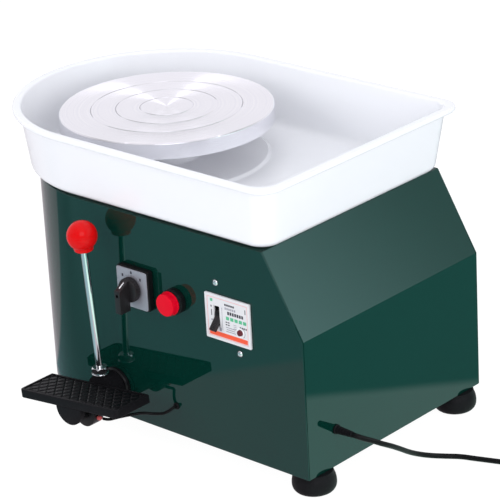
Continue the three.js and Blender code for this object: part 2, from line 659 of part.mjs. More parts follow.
// ---------------------------------------------------------------- pedal, lever and its sensor
function buildPedal() {
  const { x, z } = pivot;
  const flangeRadius = 22;
  const flangeFront = frontY - 6;
  const bossBack = flangeFront - 0.8;
  const rockerBossFront = -198;
  const shaftEnd = rockerBossFront - 1;
  const bracket = rodY(flangeRadius, [flangeFront, frontY - gap], x, z, 32);
  const bracketBore = rodY(shaftRadius + gap, [flangeFront - 1, frontY + 1], x, z, 16);
  add('pedal_bracket', cut(bracket, bracketBore), blackPlastic);
  add('pedal_shaft', rodY(shaftRadius, [shaftEnd, insideY + 12], x, z, 16), steel);

  // Everything that tilts is drawn level about the pivot, then leaned together.
  const rocker = new THREE.Group();
  rocker.position.set(x, 0, z);
  rocker.rotation.y = -pedalTilt;
  machine.add(rocker);
  const treadHeight = 1.5;
  const topZ = 11.2;
  const plateTop = topZ - treadHeight - gap;
  const plateBottom = topZ - pedalThickness;
  const halfLength = pedalLength / 2;
  const corner = 5;
  const plan = new THREE.Shape();
  plan.moveTo(-halfLength + corner, pedalFrontY);
  plan.lineTo(halfLength - corner, pedalFrontY);
  plan.quadraticCurveTo(halfLength, pedalFrontY, halfLength, pedalFrontY + corner);
  plan.lineTo(halfLength, pedalBackY);
  plan.lineTo(-halfLength, pedalBackY);
  plan.lineTo(-halfLength, pedalFrontY + corner);
  plan.quadraticCurveTo(-halfLength, pedalFrontY, -halfLength + corner, pedalFrontY);
  const plateSolid = plate(plan, [plateBottom, plateTop]);
  const cheekRadius = 20;
  const cheekThick = 8;
  const rockerBossRadius = 21;
  const under = block([-halfLength, halfLength], [pedalFrontY - 1, frontY], [-60, plateBottom + 1]);
  const cheek = keep(rodY(cheekRadius, [pedalFrontY, pedalFrontY + cheekThick], 0, 0, 32), under);
  const boss = rodY(rockerBossRadius, [rockerBossFront, bossBack], 0, 0, 32);
  // The boss stands clear of the tread along the pedal's back edge.
  const bossCut = block([-40, 40], [rockerBossFront - 1, pedalBackY], [plateTop, 40]);
  const bore = rodY(shaftRadius + gap, [shaftEnd - 2, bossBack + 1], 0, 0, 16);
  const casting = cut(join(plateSolid, cheek, boss), bossCut, bore);
  add('pedal_plate', casting, blackRubber, rocker);
  const inset = 4;
  const tread = block(
    [-halfLength + inset, halfLength - inset],
    [pedalFrontY + inset, pedalBackY - inset],
    [plateTop + gap, topZ],
  );
  add('pedal_tread', tread, blackRubber, rocker);

  // The lever stands in the boss, leaning a little towards the cabinet.
  const leverAt = { x: -1.5, y: -173 };
  const leanBack = THREE.MathUtils.degToRad(3.2);
  const leanLeft = THREE.MathUtils.degToRad(0.7);
  const lean = new THREE.Group();
  lean.position.set(leverAt.x, leverAt.y, rockerBossRadius + gap);
  lean.rotation.set(leanBack, pedalTilt - leanLeft, 0);
  rocker.add(lean);
  const rodRadius = 4;
  const nut = { radius: 8.5, height: 9 };
  const knobBottom = 155;
  const rodInKnob = 8;
  const nutBore = rodZ(rodRadius + gap, [-1, nut.height + 1], 0, 0, 16);
  add('lever_nut', cut(rodZ(nut.radius, [gap, nut.height], 0, 0, 6), nutBore), chrome, lean);
  add('lever_rod', rodZ(rodRadius, [gap, knobBottom + rodInKnob], 0, 0, 16), chrome, lean);
  const ball = 17.5;
  const ballZ = knobBottom + ball;
  const collar = { bottom: 11, top: 11.8, height: 5 };
  const knobBore = rodRadius + gap;
  const boreEnd = knobBottom + rodInKnob + 2;
  const knob = [
    [knobBore, knobBottom], [collar.bottom, knobBottom], [collar.top, knobBottom + collar.height],
  ];
  const arcs = 9;
  const lowest = -Math.PI / 4.6;
  for (let i = 0; i < arcs; i += 1) {
    const angle = lowest + ((Math.PI / 2 - lowest) * i) / arcs;
    knob.push([ball * Math.cos(angle), ballZ + ball * Math.sin(angle)]);
  }
  knob.push([0, ballZ + ball], [0, boreEnd], [knobBore, boreEnd], [knobBore, knobBottom]);
  add('lever_knob', turned(knob, 24), redPlastic, lean);

  // The speed sensor hangs under the pedal on the fixed shaft, flat on top.
  const sensorAt = { x: x + 9, z: z - 9.5, radius: 15.5, front: -216, top: 57.5 };
  const sensorDrum = rodY(sensorAt.radius, [sensorAt.front, shaftEnd - gap], sensorAt.x, sensorAt.z, 24);
  add('speed_sensor', keep(sensorDrum, block([0, 100], [-230, -150], [0, sensorAt.top])), blackPlastic);
  const sensorEdge = sensorAt.x + sensorAt.radius;
  add('sensor_cap', rodX(2.6, [sensorEdge + 0.5, sensorEdge + 4.5], -209, 49.5, 12), redPlastic);
  const cablePath = [
    [68, -203.5, 46.5], [76, -203, 46.5], [86, -198, 48.5], [96, -188, 51.5], [106, -177.5, 53],
    [116, -169.5, 52], [125, -164.5, 53.5], [131, -161, 57.5], [134.4, -158, 60.8], [135, -155, 61.5],
    [135, -151, 61.5], [135, -146, 61.5],
  ].map((p) => new THREE.Vector3(...p));
  add('pedal_cable', tube(cablePath, cableRadius, 8, 26), blackRubber);
  const grommetBore = cableRadius + 0.6;
  const grommet = turned([
    [grommetBore, -1], [4, -1], [4, 1.4], [cableRadius + 1, 2.4], [grommetBore, 2.4], [grommetBore, -1],
  ], 12).rotateX(Math.PI / 2);
  add('pedal_cable_grommet', grommet, blackRubber).position.set(cableHole.x, frontY, cableHole.z);
}

// ---------------------------------------------------------------- mains lead, coil and plug
function buildLead() {
  const r = leadDiameter / 2;
  const { x: startX, y: startY, z: startZ } = leadExit;
  const relief = { length: 24, neck: 4.5, neckLength: 8, collar: 5.6 };
  const reliefSolid = turned([
    [0, -relief.neckLength], [relief.neck, -relief.neckLength], [relief.neck, gap],
    [relief.collar, gap], [relief.collar, 2], [4.6, 3.5], [3.8, relief.length - 2],
    [3.4, relief.length], [0, relief.length],
  ], 16).rotateY(Math.PI / 2);
  add('cord_strain_relief', reliefSolid, blackRubber).position.set(startX, startY, startZ);

  const leadRoute = [
    [startX + relief.length + gap, startY, startZ], [357.5, -103.9, 69.3], [364, -99.5, 66.6],
    [369.5, -91, 61.8], [373, -79, 54.5], [373.5, -63, 45], [372, -46, 34], [370.5, -30, 23.5],
    [371, -14, 14.5], [375.5, 2, 7.5], [385, 16, 3.8], [398, 25.2, r + gap], [414, 31.2, r + gap],
    [428, 36.4, r + gap], [441, 41.2, r + gap], [449, 44.1, r + gap], [457, 47, r + gap],
  ].map((p) => new THREE.Vector3(...p));
  add('mains_cord', tube(leadRoute, r, 8, 30), blackRubber);

  const inner = outerTurn - turnPitch * (coilColumns - 1) - r;
  const outer = outerTurn + r;
  const coilTop = gap + coilLayers * turnPitch;
  add('cord_coil', ring(inner, outer, [gap, coilTop]), blackRubber)
    .position.set(coilCentre.x, coilCentre.y, 0);

  // The last turn leaves the top of the coil straight towards -X and runs into the plug.
  const tail = { start: 25, end: 38, y: coilCentre.y + outerTurn };
  const plugZ = 8.6;
  const tailRoute = [
    [coilCentre.x - tail.start, tail.y + 0.4, plugZ], [coilCentre.x - tail.end, tail.y + 0.4, plugZ],
  ].map((p) => new THREE.Vector3(...p));
  add('cord_tail', tube(tailRoute, r, 8, 3), blackRubber);

  const band = { thick: 1, half: 5 };
  const tieOuter = block(
    [inner - gap - band.thick, outer + gap + band.thick],
    [-band.half, band.half],
    [gap, coilTop + gap + band.thick],
  );
  const tieInner = ring(inner - gap, outer + gap, [-1, coilTop + gap], 48);
  add('cord_tie', cut(tieOuter, tieInner), blackPlastic).position.set(coilCentre.x, coilCentre.y, 0);

  // The plug lies on its flat side, blades pointing away from the coil.
  const plugBack = tailRoute.at(-1).x - gap;
  const plugY = tailRoute.at(-1).y;
  const halfThick = 8;
  const plugShape = new THREE.Shape();
  plugShape.moveTo(0, -4.5);
  plugShape.lineTo(-12, -6);
  plugShape.quadraticCurveTo(-16, -12, -20, -13);
  plugShape.lineTo(-38, -13);
  plugShape.lineTo(-38, 13);
  plugShape.lineTo(-20, 13);
  plugShape.quadraticCurveTo(-16, 12, -12, 6);
  plugShape.lineTo(0, 4.5);
  const blade = { root: -33, tip: -55, halfThick: 0.75, low: -6.2, high: 0.2 };
  const blades = { plug_blade_left: -6.3, plug_blade_right: 6.3 };
  const groundPin = { z: 4.2, radius: 2.4, tip: blade.tip - 3 };
  const socketDepth = [-40, blade.root - gap];
  const bodySolid = plate(plugShape, [-halfThick, halfThick]);
  const bladeAt = (side, depth, clearance) => block(
    depth,
    [side - blade.halfThick - clearance, side + blade.halfThick + clearance],
    [blade.low - clearance, blade.high + clearance],
  );
  const sockets = [
    ...Object.values(blades).map((side) => bladeAt(side, socketDepth, gap)),
    rodX(groundPin.radius + gap, socketDepth, 0, groundPin.z, 12),
  ];
  const place = (mesh) => mesh.position.set(plugBack, plugY, plugZ);
  place(add('plug_body', cut(bodySolid, ...sockets), blackRubber));
  const root = blade.root - 2 * gap;
  for (const [name, side] of Object.entries(blades)) {
    place(add(name, bladeAt(side, [blade.tip, root], 0), brass));
  }
  const pin = rodX(groundPin.radius, [groundPin.tip, root], 0, groundPin.z, 12);
  place(add('plug_ground_pin', pin, brass));
}

buildCabinet();
buildBasin();
buildHead();
buildBearings();
buildDrive();
buildSwitch();
buildLamp();
buildBreaker();
buildPedal();
buildLead();

export default group;
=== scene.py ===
"""Looks of a table-top pottery wheel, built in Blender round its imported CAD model.

Shapes are drawn in millimetres from the wheel's axis at floor level, and PLACE takes them to
the model's own frame in metres. Y runs from the control panel (negative) to the back.
"""
import math

import bmesh
import bpy
from mathutils import Matrix, Vector


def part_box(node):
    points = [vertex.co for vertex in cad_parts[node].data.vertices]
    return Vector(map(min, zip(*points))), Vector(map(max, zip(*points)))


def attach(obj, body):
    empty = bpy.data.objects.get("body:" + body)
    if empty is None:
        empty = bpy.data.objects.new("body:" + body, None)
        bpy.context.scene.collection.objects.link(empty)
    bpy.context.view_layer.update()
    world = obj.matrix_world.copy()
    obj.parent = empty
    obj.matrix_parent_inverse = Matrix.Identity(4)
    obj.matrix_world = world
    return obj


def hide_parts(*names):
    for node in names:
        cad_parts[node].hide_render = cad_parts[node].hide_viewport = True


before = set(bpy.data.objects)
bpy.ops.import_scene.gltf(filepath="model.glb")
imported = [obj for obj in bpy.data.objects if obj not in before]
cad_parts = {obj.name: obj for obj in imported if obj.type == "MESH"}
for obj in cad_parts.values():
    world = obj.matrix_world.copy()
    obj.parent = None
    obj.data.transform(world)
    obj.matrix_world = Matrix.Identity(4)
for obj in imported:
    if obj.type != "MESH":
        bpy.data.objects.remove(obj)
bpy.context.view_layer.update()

MM = 0.001
head_low, head_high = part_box("wheel_head")
AXIS = (head_low + head_high) / 2
PLACE = Matrix.Translation((AXIS.x, AXIS.y, 0)) @ Matrix.Scale(MM, 4)


def measured(node):
    """Lowest and highest corner of a CAD node, in millimetres from the wheel's axis."""
    low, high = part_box(node)
    back = PLACE.inverted()
    return back @ low, back @ high


def new_object(name, data):
    """An object in the scene."""
    thing = bpy.data.objects.new(name, data)
    bpy.context.scene.collection.objects.link(thing)
    return thing


# ------------------------------------------------------------------ camera
CAMERA_AZIMUTH = math.radians(42.977)
CAMERA_ELEVATION = math.radians(22.419)
CAMERA_ROLL = math.radians(-3.152)
CAMERA_DISTANCE = 3069.4
CAMERA_LENS = 190.74
CAMERA_TARGET = Vector((100.0, 20.134, 183.819))


def make_camera():
    level = Vector((math.cos(CAMERA_AZIMUTH), math.sin(CAMERA_AZIMUTH), 0))
    flat_back = Vector((math.sin(CAMERA_AZIMUTH), -math.cos(CAMERA_AZIMUTH), 0))
    back = flat_back * math.cos(CAMERA_ELEVATION) + Vector((0, 0, math.sin(CAMERA_ELEVATION)))
    upright = back.cross(level)
    right = level * math.cos(CAMERA_ROLL) + upright * math.sin(CAMERA_ROLL)
    up = -level * math.sin(CAMERA_ROLL) + upright * math.cos(CAMERA_ROLL)
    camera = new_object("camera", bpy.data.cameras.new("camera"))
    camera.data.lens = CAMERA_LENS
    camera.data.sensor_width = 36
    camera.data.clip_start = 0.05
    camera.data.clip_end = 50
    turn = Matrix((right, up, back)).transposed().to_4x4()
    camera.matrix_world = Matrix.Translation(PLACE @ (CAMERA_TARGET + back * CAMERA_DISTANCE)) @ turn
    bpy.context.scene.camera = camera


make_camera()


# ------------------------------------------------------------------ shader nodes
class Graph:
    """Short ways to add nodes to a material or a world."""

    def __init__(self, owner):
        owner.use_nodes = True
        self.owner = owner
        self.nodes, self.links = owner.node_tree.nodes, owner.node_tree.links

    @property
    def shader(self):
        return self.nodes["Principled BSDF"]

    def fill(self, socket, value):
        """Feeds a socket from another socket, a number, a vector or a colour."""
        if isinstance(value, bpy.types.NodeSocket):
            self.links.new(value, socket)
        else:
            socket.default_value = (*value[:3], 1) if socket.type == "RGBA" else value

    def feed(self, node, **sockets):
        """Fills sockets by name; underscores stand for spaces."""
        for name, value in sockets.items():
            self.fill(node.inputs[name.replace("_", " ")], value)
        return node

    def add(self, kind, settings=None, **sockets):
        """A new node with its settings made and its sockets filled."""
        node = self.nodes.new("ShaderNode" + kind)
        for name, value in (settings or {}).items():
            setattr(node, name, value)
        return self.feed(node, **sockets)

    def math(self, operation, *values):
        node = self.add("Math", {"operation": operation})
        for socket, value in zip(node.inputs, values):
            self.fill(socket, value)
        return node.outputs["Value"]

    def vector(self, operation, *values):
        node = self.add("VectorMath", {"operation": operation})
        for socket, value in zip(node.inputs, values):
            self.fill(socket, value)
        return node.outputs["Value" if operation in ("DOT_PRODUCT", "LENGTH") else "Vector"]

    def mix(self, factor, first, second):
        """Mixes two colours."""
        return self.add("Mix", {"data_type": "RGBA"}, Factor=factor, A=first, B=second).outputs["Result"]

    def mix_shaders(self, factor, *shaders):
        node = self.add("MixShader", Fac=factor)
        for socket, shader in zip(node.inputs[1:], shaders):
            self.links.new(shader.outputs[0], socket)
        return node

    def ramp(self, value, start, end, low=0.0, high=1.0, kind="SMOOTHSTEP"):
        """Goes from low to high as value goes from start to end."""
        return self.add(
            "MapRange", {"interpolation_type": kind}, From_Min=start, From_Max=end, To_Min=low, To_Max=high,
            Value=value,
        ).outputs["Result"]

    def bump(self, height, distance, strength, **below):
        """A bumped normal; distance is in metres."""
        node = self.add("Bump", Height=height, Distance=distance, Strength=strength, **below)
        return node.outputs["Normal"]

    def noise(self, scale, detail=3.0):
        """Noise in the object's own metres; scale is features per metre."""
        place = self.add("TexCoord").outputs["Object"]
        return self.add("TexNoise", Scale=scale, Detail=detail, Vector=place).outputs["Fac"]


# ------------------------------------------------------------------ materials
def principled(name, colour, roughness, **sockets):
    """The graph of a new material with a Principled shader."""
    material = bpy.data.materials.new(name)
    material.diffuse_color = (*colour, 1)
    graph = Graph(material)
    graph.feed(graph.shader, Base_Color=colour, Roughness=roughness, **sockets)
    return graph


def vary_colour(graph, amount, scale):
    """Lightens and darkens the base colour softly over the surface."""
    colour = graph.shader.inputs["Base Color"].default_value[:3]
    dark, light = ([min(1, c * share) for c in colour] for share in (1 - amount, 1 + amount))
    graph.feed(graph.shader, Base_Color=graph.mix(graph.noise(scale), dark, light))


def vary_roughness(graph, low, high, scale):
    graph.feed(graph.shader, Roughness=graph.ramp(graph.noise(scale, 4.0), 0.3, 0.7, low, high, "LINEAR"))


def finish(graph, colour, roughness, grain):
    """Varies colour (amount, scale) and roughness (low, high, scale); grain is (height, scale, strength)."""
    vary_colour(graph, *colour)
    vary_roughness(graph, *roughness)
    height, scale, strength = grain
    graph.feed(graph.shader, Normal=graph.bump(graph.noise(scale), height, strength))
    return graph.owner


def make_green_paint():
    """Glossy enamel on thin sheet: a slow ripple in the sheet under a faint orange peel."""
    graph = principled(
        "green_enamel", (0.0008, 0.0236, 0.0168), 0.02, IOR=1.5, Specular_IOR_Level=0.5,
        Specular_Tint=(0.65, 0.95, 1.0),
    )
    vary_colour(graph, 0.06, 9)
    ripple = graph.bump(graph.noise(7, 1), 0.00022, 1.0)
    peel = graph.bump(graph.noise(260), 0.00012, 0.04, Normal=ripple)
    graph.feed(graph.shader, Normal=peel)
    return graph.owner


TOOL_SLANT = 0.09            # slope of the lathe tool's marks, leaning in toward the axis
RING_COLOURS = (0.87, 0.86, 0.91), (1.0, 0.99, 1.0)
# Painted shade: a darker colour laid on the steep walls of the grooves.
GROOVE_SHADE_COLOUR = (0.3, 0.3, 0.34)
GROOVE_SHADE_EDGE = (0.11, 0.115)    # radius in metres over which the painted shade in the grooves ends


def make_turned_aluminium():
    """Bright aluminium with the fine rings a lathe tool leaves round the axis, and shade painted into its
    grooves.
    """
    graph = principled(
        "turned_aluminium", (0.91, 0.9, 0.96), 0.15, Metallic=1.0, Anisotropic=1.0, Anisotropic_Rotation=0.25,
    )
    place = graph.add("TexCoord").outputs
    flat = graph.vector("MULTIPLY", place["Object"], (1, 1, 0))
    radius = graph.vector("LENGTH", flat)
    facing_up = graph.add("SeparateXYZ", Vector=place["Normal"]).outputs["Z"]
    slant = graph.ramp(facing_up, 0.9, 0.99, 0.0, -TOOL_SLANT)
    lean = graph.add("VectorMath", {"operation": "SCALE"}, Scale=slant)
    graph.fill(lean.inputs[0], graph.vector("NORMALIZE", flat))
    to_world = graph.add(
        "VectorTransform", {"vector_type": "NORMAL", "convert_from": "OBJECT", "convert_to": "WORLD"},
        Vector=graph.vector("ADD", place["Normal"], lean.outputs["Vector"]),
    )

    def rings(scale, detail):
        return graph.add(
            "TexNoise", {"noise_dimensions": "1D"}, Scale=scale, Detail=detail, W=radius,
        ).outputs["Fac"]

    # Painted shade: the steep groove walls are darkened in patches, fading out towards the rim.
    steep = graph.ramp(facing_up, 0.97, 0.8)
    inside = graph.ramp(radius, *GROOVE_SHADE_EDGE, 0.55, 0.0)
    patchy = graph.ramp(graph.noise(28, 2), 0.42, 0.6)
    painted_groove_shade = graph.math("MULTIPLY", steep, graph.math("MULTIPLY", inside, patchy))
    graph.feed(
        graph.shader,
        Tangent=graph.add("Tangent", {"direction_type": "RADIAL", "axis": "Z"}).outputs["Tangent"],
        Normal=graph.bump(
            rings(1500, 4), 0.00006, 0.3, Normal=graph.vector("NORMALIZE", to_world.outputs["Vector"]),
        ),
        Base_Color=graph.mix(painted_groove_shade, graph.mix(rings(420, 5), *RING_COLOURS), GROOVE_SHADE_COLOUR),
    )
    return graph.owner


def make_white_plastic():
    graph = principled("white_moulding", (0.86, 0.865, 0.895), 0.22, Specular_IOR_Level=0.5)
    return finish(graph, (0.012, 14), (0.18, 0.27, 60), (0.0002, 120, 0.03))


def make_metal(name, colour, roughness, spread=0.06, metallic=1.0):
    graph = principled(name, colour, roughness, Metallic=metallic)
    low = max(0.02, roughness - spread)
    return finish(graph, (0.05, 90), (low, roughness + spread, 160), (0.00005, 700, 0.08))


def make_rubber(name, colour, roughness):
    graph = principled(name, colour, roughness, Specular_IOR_Level=0.1)
    return finish(graph, (0.12, 60), (roughness - 0.08, roughness + 0.08, 240), (0.00025, 900, 0.22))


def make_plastic(name, colour, roughness, grit=0.05, **sockets):
    graph = principled(name, colour, roughness, **sockets)
    low = max(0.03, roughness - 0.04)
    return finish(graph, (0.04, 70), (low, roughness + 0.05, 150), (0.0002, 800, grit))


GREEN = make_green_paint()
WHITE = make_white_plastic()
ALUMINIUM = make_turned_aluminium()
STEEL = make_metal("bright_steel", (0.62, 0.63, 0.65), 0.3)
CHROME = make_metal("chrome", (0.82, 0.83, 0.85), 0.08, 0.03)
IRON = make_metal("cast_iron", (0.12, 0.12, 0.13), 0.55)
BRASS = make_metal("brass", (0.72, 0.52, 0.24), 0.25)
SILVER = make_metal("silver_plate", (0.4, 0.4, 0.45), 0.42, 0.05, 0.5)
RUBBER = make_rubber("black_rubber", (0.0078, 0.0074, 0.0088), 0.5)
TREAD = make_rubber("tread_rubber", (0.0045, 0.0046, 0.0055), 0.42)
LEAD_RUBBER = make_rubber("lead_rubber", (0.006, 0.006, 0.0065), 0.34)
BLACK = make_plastic("black_plastic", (0.007, 0.007, 0.008), 0.3, Specular_IOR_Level=0.25)
KNOB_BLACK = make_plastic("knob_black", (0.014, 0.0125, 0.014), 0.36, Specular_IOR_Level=0.35)
RED = make_plastic(
    "red_phenolic", (0.64, 0.004, 0.005), 0.3, 0.02,
    Specular_IOR_Level=0.05, Coat_Weight=0.22, Coat_Roughness=0.06,
)
CAP_RED = make_plastic("cap_red", (0.6, 0.1, 0.1), 0.35)
DARK_RED = make_plastic("dark_red_plastic", (0.11, 0.004, 0.012), 0.3)
LENS = make_plastic(
    "red_lens", (0.66, 0.001, 0.016), 0.2, 0.01, Specular_IOR_Level=0.08,
    Coat_Weight=0.1, Emission_Color=(1.0, 0.0, 0.03), Emission_Strength=0.02,
)
MOTOR = make_plastic("motor_paint", (0.02, 0.022, 0.025), 0.45, 0.15)
GREY = make_plastic("grey_plastic", (0.25, 0.26, 0.27), 0.5, 0.1)
PAPER = make_plastic("label_paper", (0.7, 0.7, 0.72), 0.4, 0.01)
INK_DARK = make_plastic("ink_dark", (0.03, 0.025, 0.04), 0.5, 0.01)
INK_GREY = make_plastic("ink_grey", (0.28, 0.28, 0.33), 0.5, 0.01)
INK_GREEN = make_plastic("ink_green", (0.09, 0.47, 0.25), 0.5, 0.01)
INK_PINK = make_plastic("ink_pink", (0.8, 0.42, 0.42), 0.5, 0.01)
INK_ORANGE = make_plastic("ink_orange", (0.85, 0.09, 0.03), 0.45, 0.01)
MARK_WHITE = make_plastic("mark_white", (0.85, 0.85, 0.87), 0.4, 0.01)


# ------------------------------------------------------------------ mesh tools
SMOOTH_ANGLE = math.radians(32)
TURN = {
    "up": Matrix.Identity(4),
    "front": Matrix.Rotation(math.pi / 2, 4, "X"),      # a part's own +Z points to the front, -Y
    "right": Matrix.Rotation(math.pi / 2, 4, "Y"),      # a part's own +Z points to +X
}


def shade(piece):
    piece.data.shade_smooth()
    piece.data.set_sharp_from_angle(angle=SMOOTH_ANGLE)


def make_mesh(name, shape, place=None):
    """A mesh of (points, faces), moved by place; doubled points are joined and faces turned out."""
    points, faces = shape
    mesh = bpy.data.meshes.new(name)
    mesh.from_pydata([tuple(p) for p in points], [], faces)
    mesh.transform(PLACE @ (place or Matrix.Identity(4)))
    tidy = bmesh.new()
    tidy.from_mesh(mesh)
    bmesh.ops.remove_doubles(tidy, verts=tidy.verts, dist=1e-7)
    bmesh.ops.recalc_face_normals(tidy, faces=tidy.faces)
    tidy.to_mesh(mesh)
    tidy.free()
    return mesh


def make_piece(name, shape, material, place=None, body="cabinet", stands_for=()):
    """Makes a piece and hangs it on its body; it may stand for CAD nodes."""
    mesh = make_mesh(name, shape, place)
    mesh.materials.append(material)
    piece = new_object(name, mesh)
    shade(piece)
    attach(piece, body)
    if stands_for:
        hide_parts(*stands_for)
    return piece


def settle(piece):
    """Applies the piece's modifiers and shades it again."""
    depsgraph = bpy.context.evaluated_depsgraph_get()
    baked = bpy.data.meshes.new_from_object(piece.evaluated_get(depsgraph))
    piece.modifiers.clear()
    piece.data = baked
    shade(piece)
    return piece


def flat_faces(piece):
    """Keeps large faces flat in reflections where they run into a rounded edge."""
    modifier = piece.modifiers.new("normals", "WEIGHTED_NORMAL")
    modifier.keep_sharp = True
    modifier.weight = 100


def bevel(piece, width, segments=3):
    """Rounds the piece's edges by width millimetres."""
    modifier = piece.modifiers.new("rounding", "BEVEL")
    modifier.width = width * MM
    modifier.segments = segments
    modifier.limit_method = "ANGLE"
    modifier.angle_limit = SMOOTH_ANGLE
    modifier.use_clamp_overlap = True
    modifier.harden_normals = False
    return settle(piece)


def carve(piece, *shapes, place=None):
    """Cuts closed shapes out of a piece."""
    for shape in shapes:
        tool = new_object("cutter", make_mesh("cutter", shape, place))
        modifier = piece.modifiers.new("cut", "BOOLEAN")
        modifier.operation = "DIFFERENCE"
        modifier.solver = "EXACT"
        modifier.object = tool
        settle(piece)
        bpy.data.objects.remove(tool)
    return piece


def rounded(corners, steps=6):
    """A polyline with its corners rounded: each corner is (x, y) or (x, y, radius)."""
    line = []
    for i, corner in enumerate(corners):
        here = Vector(corner[:2])
        radius = corner[2] if len(corner) > 2 else 0
        if not radius or i in (0, len(corners) - 1):
            line.append(here)
            continue
        before = (Vector(corners[i - 1][:2]) - here).normalized()
        after = (Vector(corners[i + 1][:2]) - here).normalized()
        half = before.angle(after) / 2
        reach = radius / math.tan(half)
        centre = here + (before + after).normalized() * (radius / math.sin(half))
        start, end = here + before * reach - centre, here + after * reach - centre
        for k in range(steps + 1):
            blended = start.slerp(end, k / steps)
            line.append(centre + blended.normalized() * radius)
    return line


def rounded_loop(corners, steps=6):
    """A closed outline with rounded corners, each corner (x, y, radius)."""
    wrapped = [corners[-1], *corners, corners[0]]
    return rounded(wrapped, steps)[1:-1]


def rectangle(width, height, radius, x=0.0, y=0.0, steps=6):
    w, h = width / 2, height / 2
    corners = [(x - w, y - h), (x + w, y - h), (x + w, y + h), (x - w, y + h)]
    return rounded_loop([(*corner, radius) for corner in corners], steps)


def circle(radius, x=0.0, y=0.0, steps=48):
    turns = (2 * math.pi * i / steps for i in range(steps))
    return [Vector((x + radius * math.cos(turn), y + radius * math.sin(turn))) for turn in turns]


def loft(loops, ring=False):
    """Skins equal loops of 3-D points and caps the ends; ring joins the last loop to the first instead."""
    count = len(loops[0])
    points = [p for loop in loops for p in loop]
    faces = []
    rows = len(loops) if ring else len(loops) - 1
    for i in range(rows):
        here, there = i * count, ((i + 1) % len(loops)) * count
        for k in range(count):
            n = (k + 1) % count
            faces.append((here + k, here + n, there + n, there + k))
    if not ring:
        faces.append(tuple(range(count))[::-1])
        faces.append(tuple(range((len(loops) - 1) * count, len(loops) * count)))
    return points, faces


def prism(outline, low, high):
    """An outline in X and Y, extruded along Z."""
    return loft([[Vector((p[0], p[1], z)) for p in outline] for z in (low, high)])


def upright(outline, front, back):
    """An outline in X and Z, extruded along Y."""
    return loft([[Vector((p[0], y, p[1])) for p in outline] for y in (front, back)])


def sideways(outline, x, z=0.0):
    """An outline as points in Y and Z at one X, raised by z."""
    return [Vector((x, p[0], z + p[1])) for p in outline]


def lathe(profile, segments=64, ring=False):
    """Turns a profile of (radius, height) about Z; a profile that starts and ends on the axis is solid."""
    points, faces, rows = [], [], []
    for radius, height in (p[:2] for p in profile):
        if radius < 1e-6:
            rows.append([len(points)])
            points.append(Vector((0, 0, height)))
            continue
        rows.append(list(range(len(points), len(points) + segments)))
        points.extend(Vector((p[0], p[1], height)) for p in circle(radius, steps=segments))
    pairs = list(zip(rows, rows[1:])) + ([(rows[-1], rows[0])] if ring else [])
    for a, b in pairs:
        for k in range(segments):
            n = (k + 1) % segments
            corners = [a[k % len(a)], a[n % len(a)], b[n % len(b)], b[k % len(b)]]
            unique = list(dict.fromkeys(corners))
            if len(unique) > 2:
                faces.append(tuple(unique))
    return points, faces


def smooth_line(points, steps=6):
    """Catmull-Rom line through 2-D or 3-D points."""
    found = [Vector(p) for p in points]
    ends = [2 * found[0] - found[1], *found, 2 * found[-1] - found[-2]]
    line = []
    for i in range(1, len(ends) - 2):
        a, b, c, d = ends[i - 1:i + 3]
        for k in range(steps):
            t = k / steps
            line.append(0.5 * (
                2 * b + (c - a) * t + (2 * a - 5 * b + 4 * c - d) * t ** 2
                + (3 * b - a - 3 * c + d) * t ** 3
            ))
    return [*line, found[-1]]


def shift(x=0.0, y=0.0, z=0.0):
    return Matrix.Translation((x, y, z))


def move(shape, matrix):
    points, faces = shape
    return [matrix @ Vector(p) for p in points], faces


def merge(*shapes):
    """Several shapes as one list of points and faces."""
    points, faces = [], []
    for more_points, more_faces in shapes:
        start = len(points)
        points.extend(more_points)
        faces.extend(tuple(i + start for i in face) for face in more_faces)
    return points, faces


# ------------------------------------------------------------------ cords
def cord_curve(name, points, radius, material):
    """A round cord along one smooth open spline through points in millimetres."""
    curve = bpy.data.curves.new(name, "CURVE")
    curve.dimensions = "3D"
    curve.bevel_depth = radius * MM
    curve.bevel_resolution = 5
    curve.resolution_u = 5
    curve.use_fill_caps = True
    spline = curve.splines.new("BEZIER")
    spline.bezier_points.add(len(points) - 1)
    for knot, place in zip(spline.bezier_points, points):
        knot.co = PLACE @ Vector(place)
        knot.handle_left_type = knot.handle_right_type = "AUTO"
    curve.materials.append(material)
    piece = new_object(name, curve)
    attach(piece, "cabinet")
    return piece


LEAD_RADIUS = 3.0
LEAD_EXIT = Vector((328.8, -104, 69.5))
LEAD_ROUTE = [
    (336, -104, 69.5), (345, -104, 69.5), (353.1, -104, 69.5), (357.5, -103.9, 69.3), (364, -99.5, 66.6),
    (369.5, -91, 61.8), (373, -79, 54.5), (373.5, -63, 45), (372, -46, 34), (370.5, -30, 23.5),
    (371, -14, 14.5), (375.5, 2, 7.5), (385, 16, 3.8), (398, 25.2, 3.3), (414, 31.2, 3.3),
    (428, 36.4, 3.3), (441, 41.2, 3.3), (449, 44.1, 3.3), (457, 47, 3.3),
]
GAP = 0.3
TURN_PITCH = 1.04 * 2 * LEAD_RADIUS
COIL_MIDDLE = 35.2
SPIRAL_TURNS = 3             # turns from the outer to the inner one, in each of two layers
LEAD_HEADING = math.radians(20)
COIL_TOUCH = Vector((480.5, 55.6))
OUTER_TURN = COIL_MIDDLE + TURN_PITCH * SPIRAL_TURNS / 2
INNER_TURN = OUTER_TURN - TURN_PITCH * SPIRAL_TURNS
COIL_CENTRE = Vector((
    COIL_TOUCH.x - OUTER_TURN * math.sin(LEAD_HEADING), COIL_TOUCH.y + OUTER_TURN * math.cos(LEAD_HEADING),
))
POINTS_PER_TURN = 18
LAYER_LOW = LEAD_RADIUS + GAP
LAYER_HIGH = LAYER_LOW + TURN_PITCH
PLUG_HEIGHT = 8.6


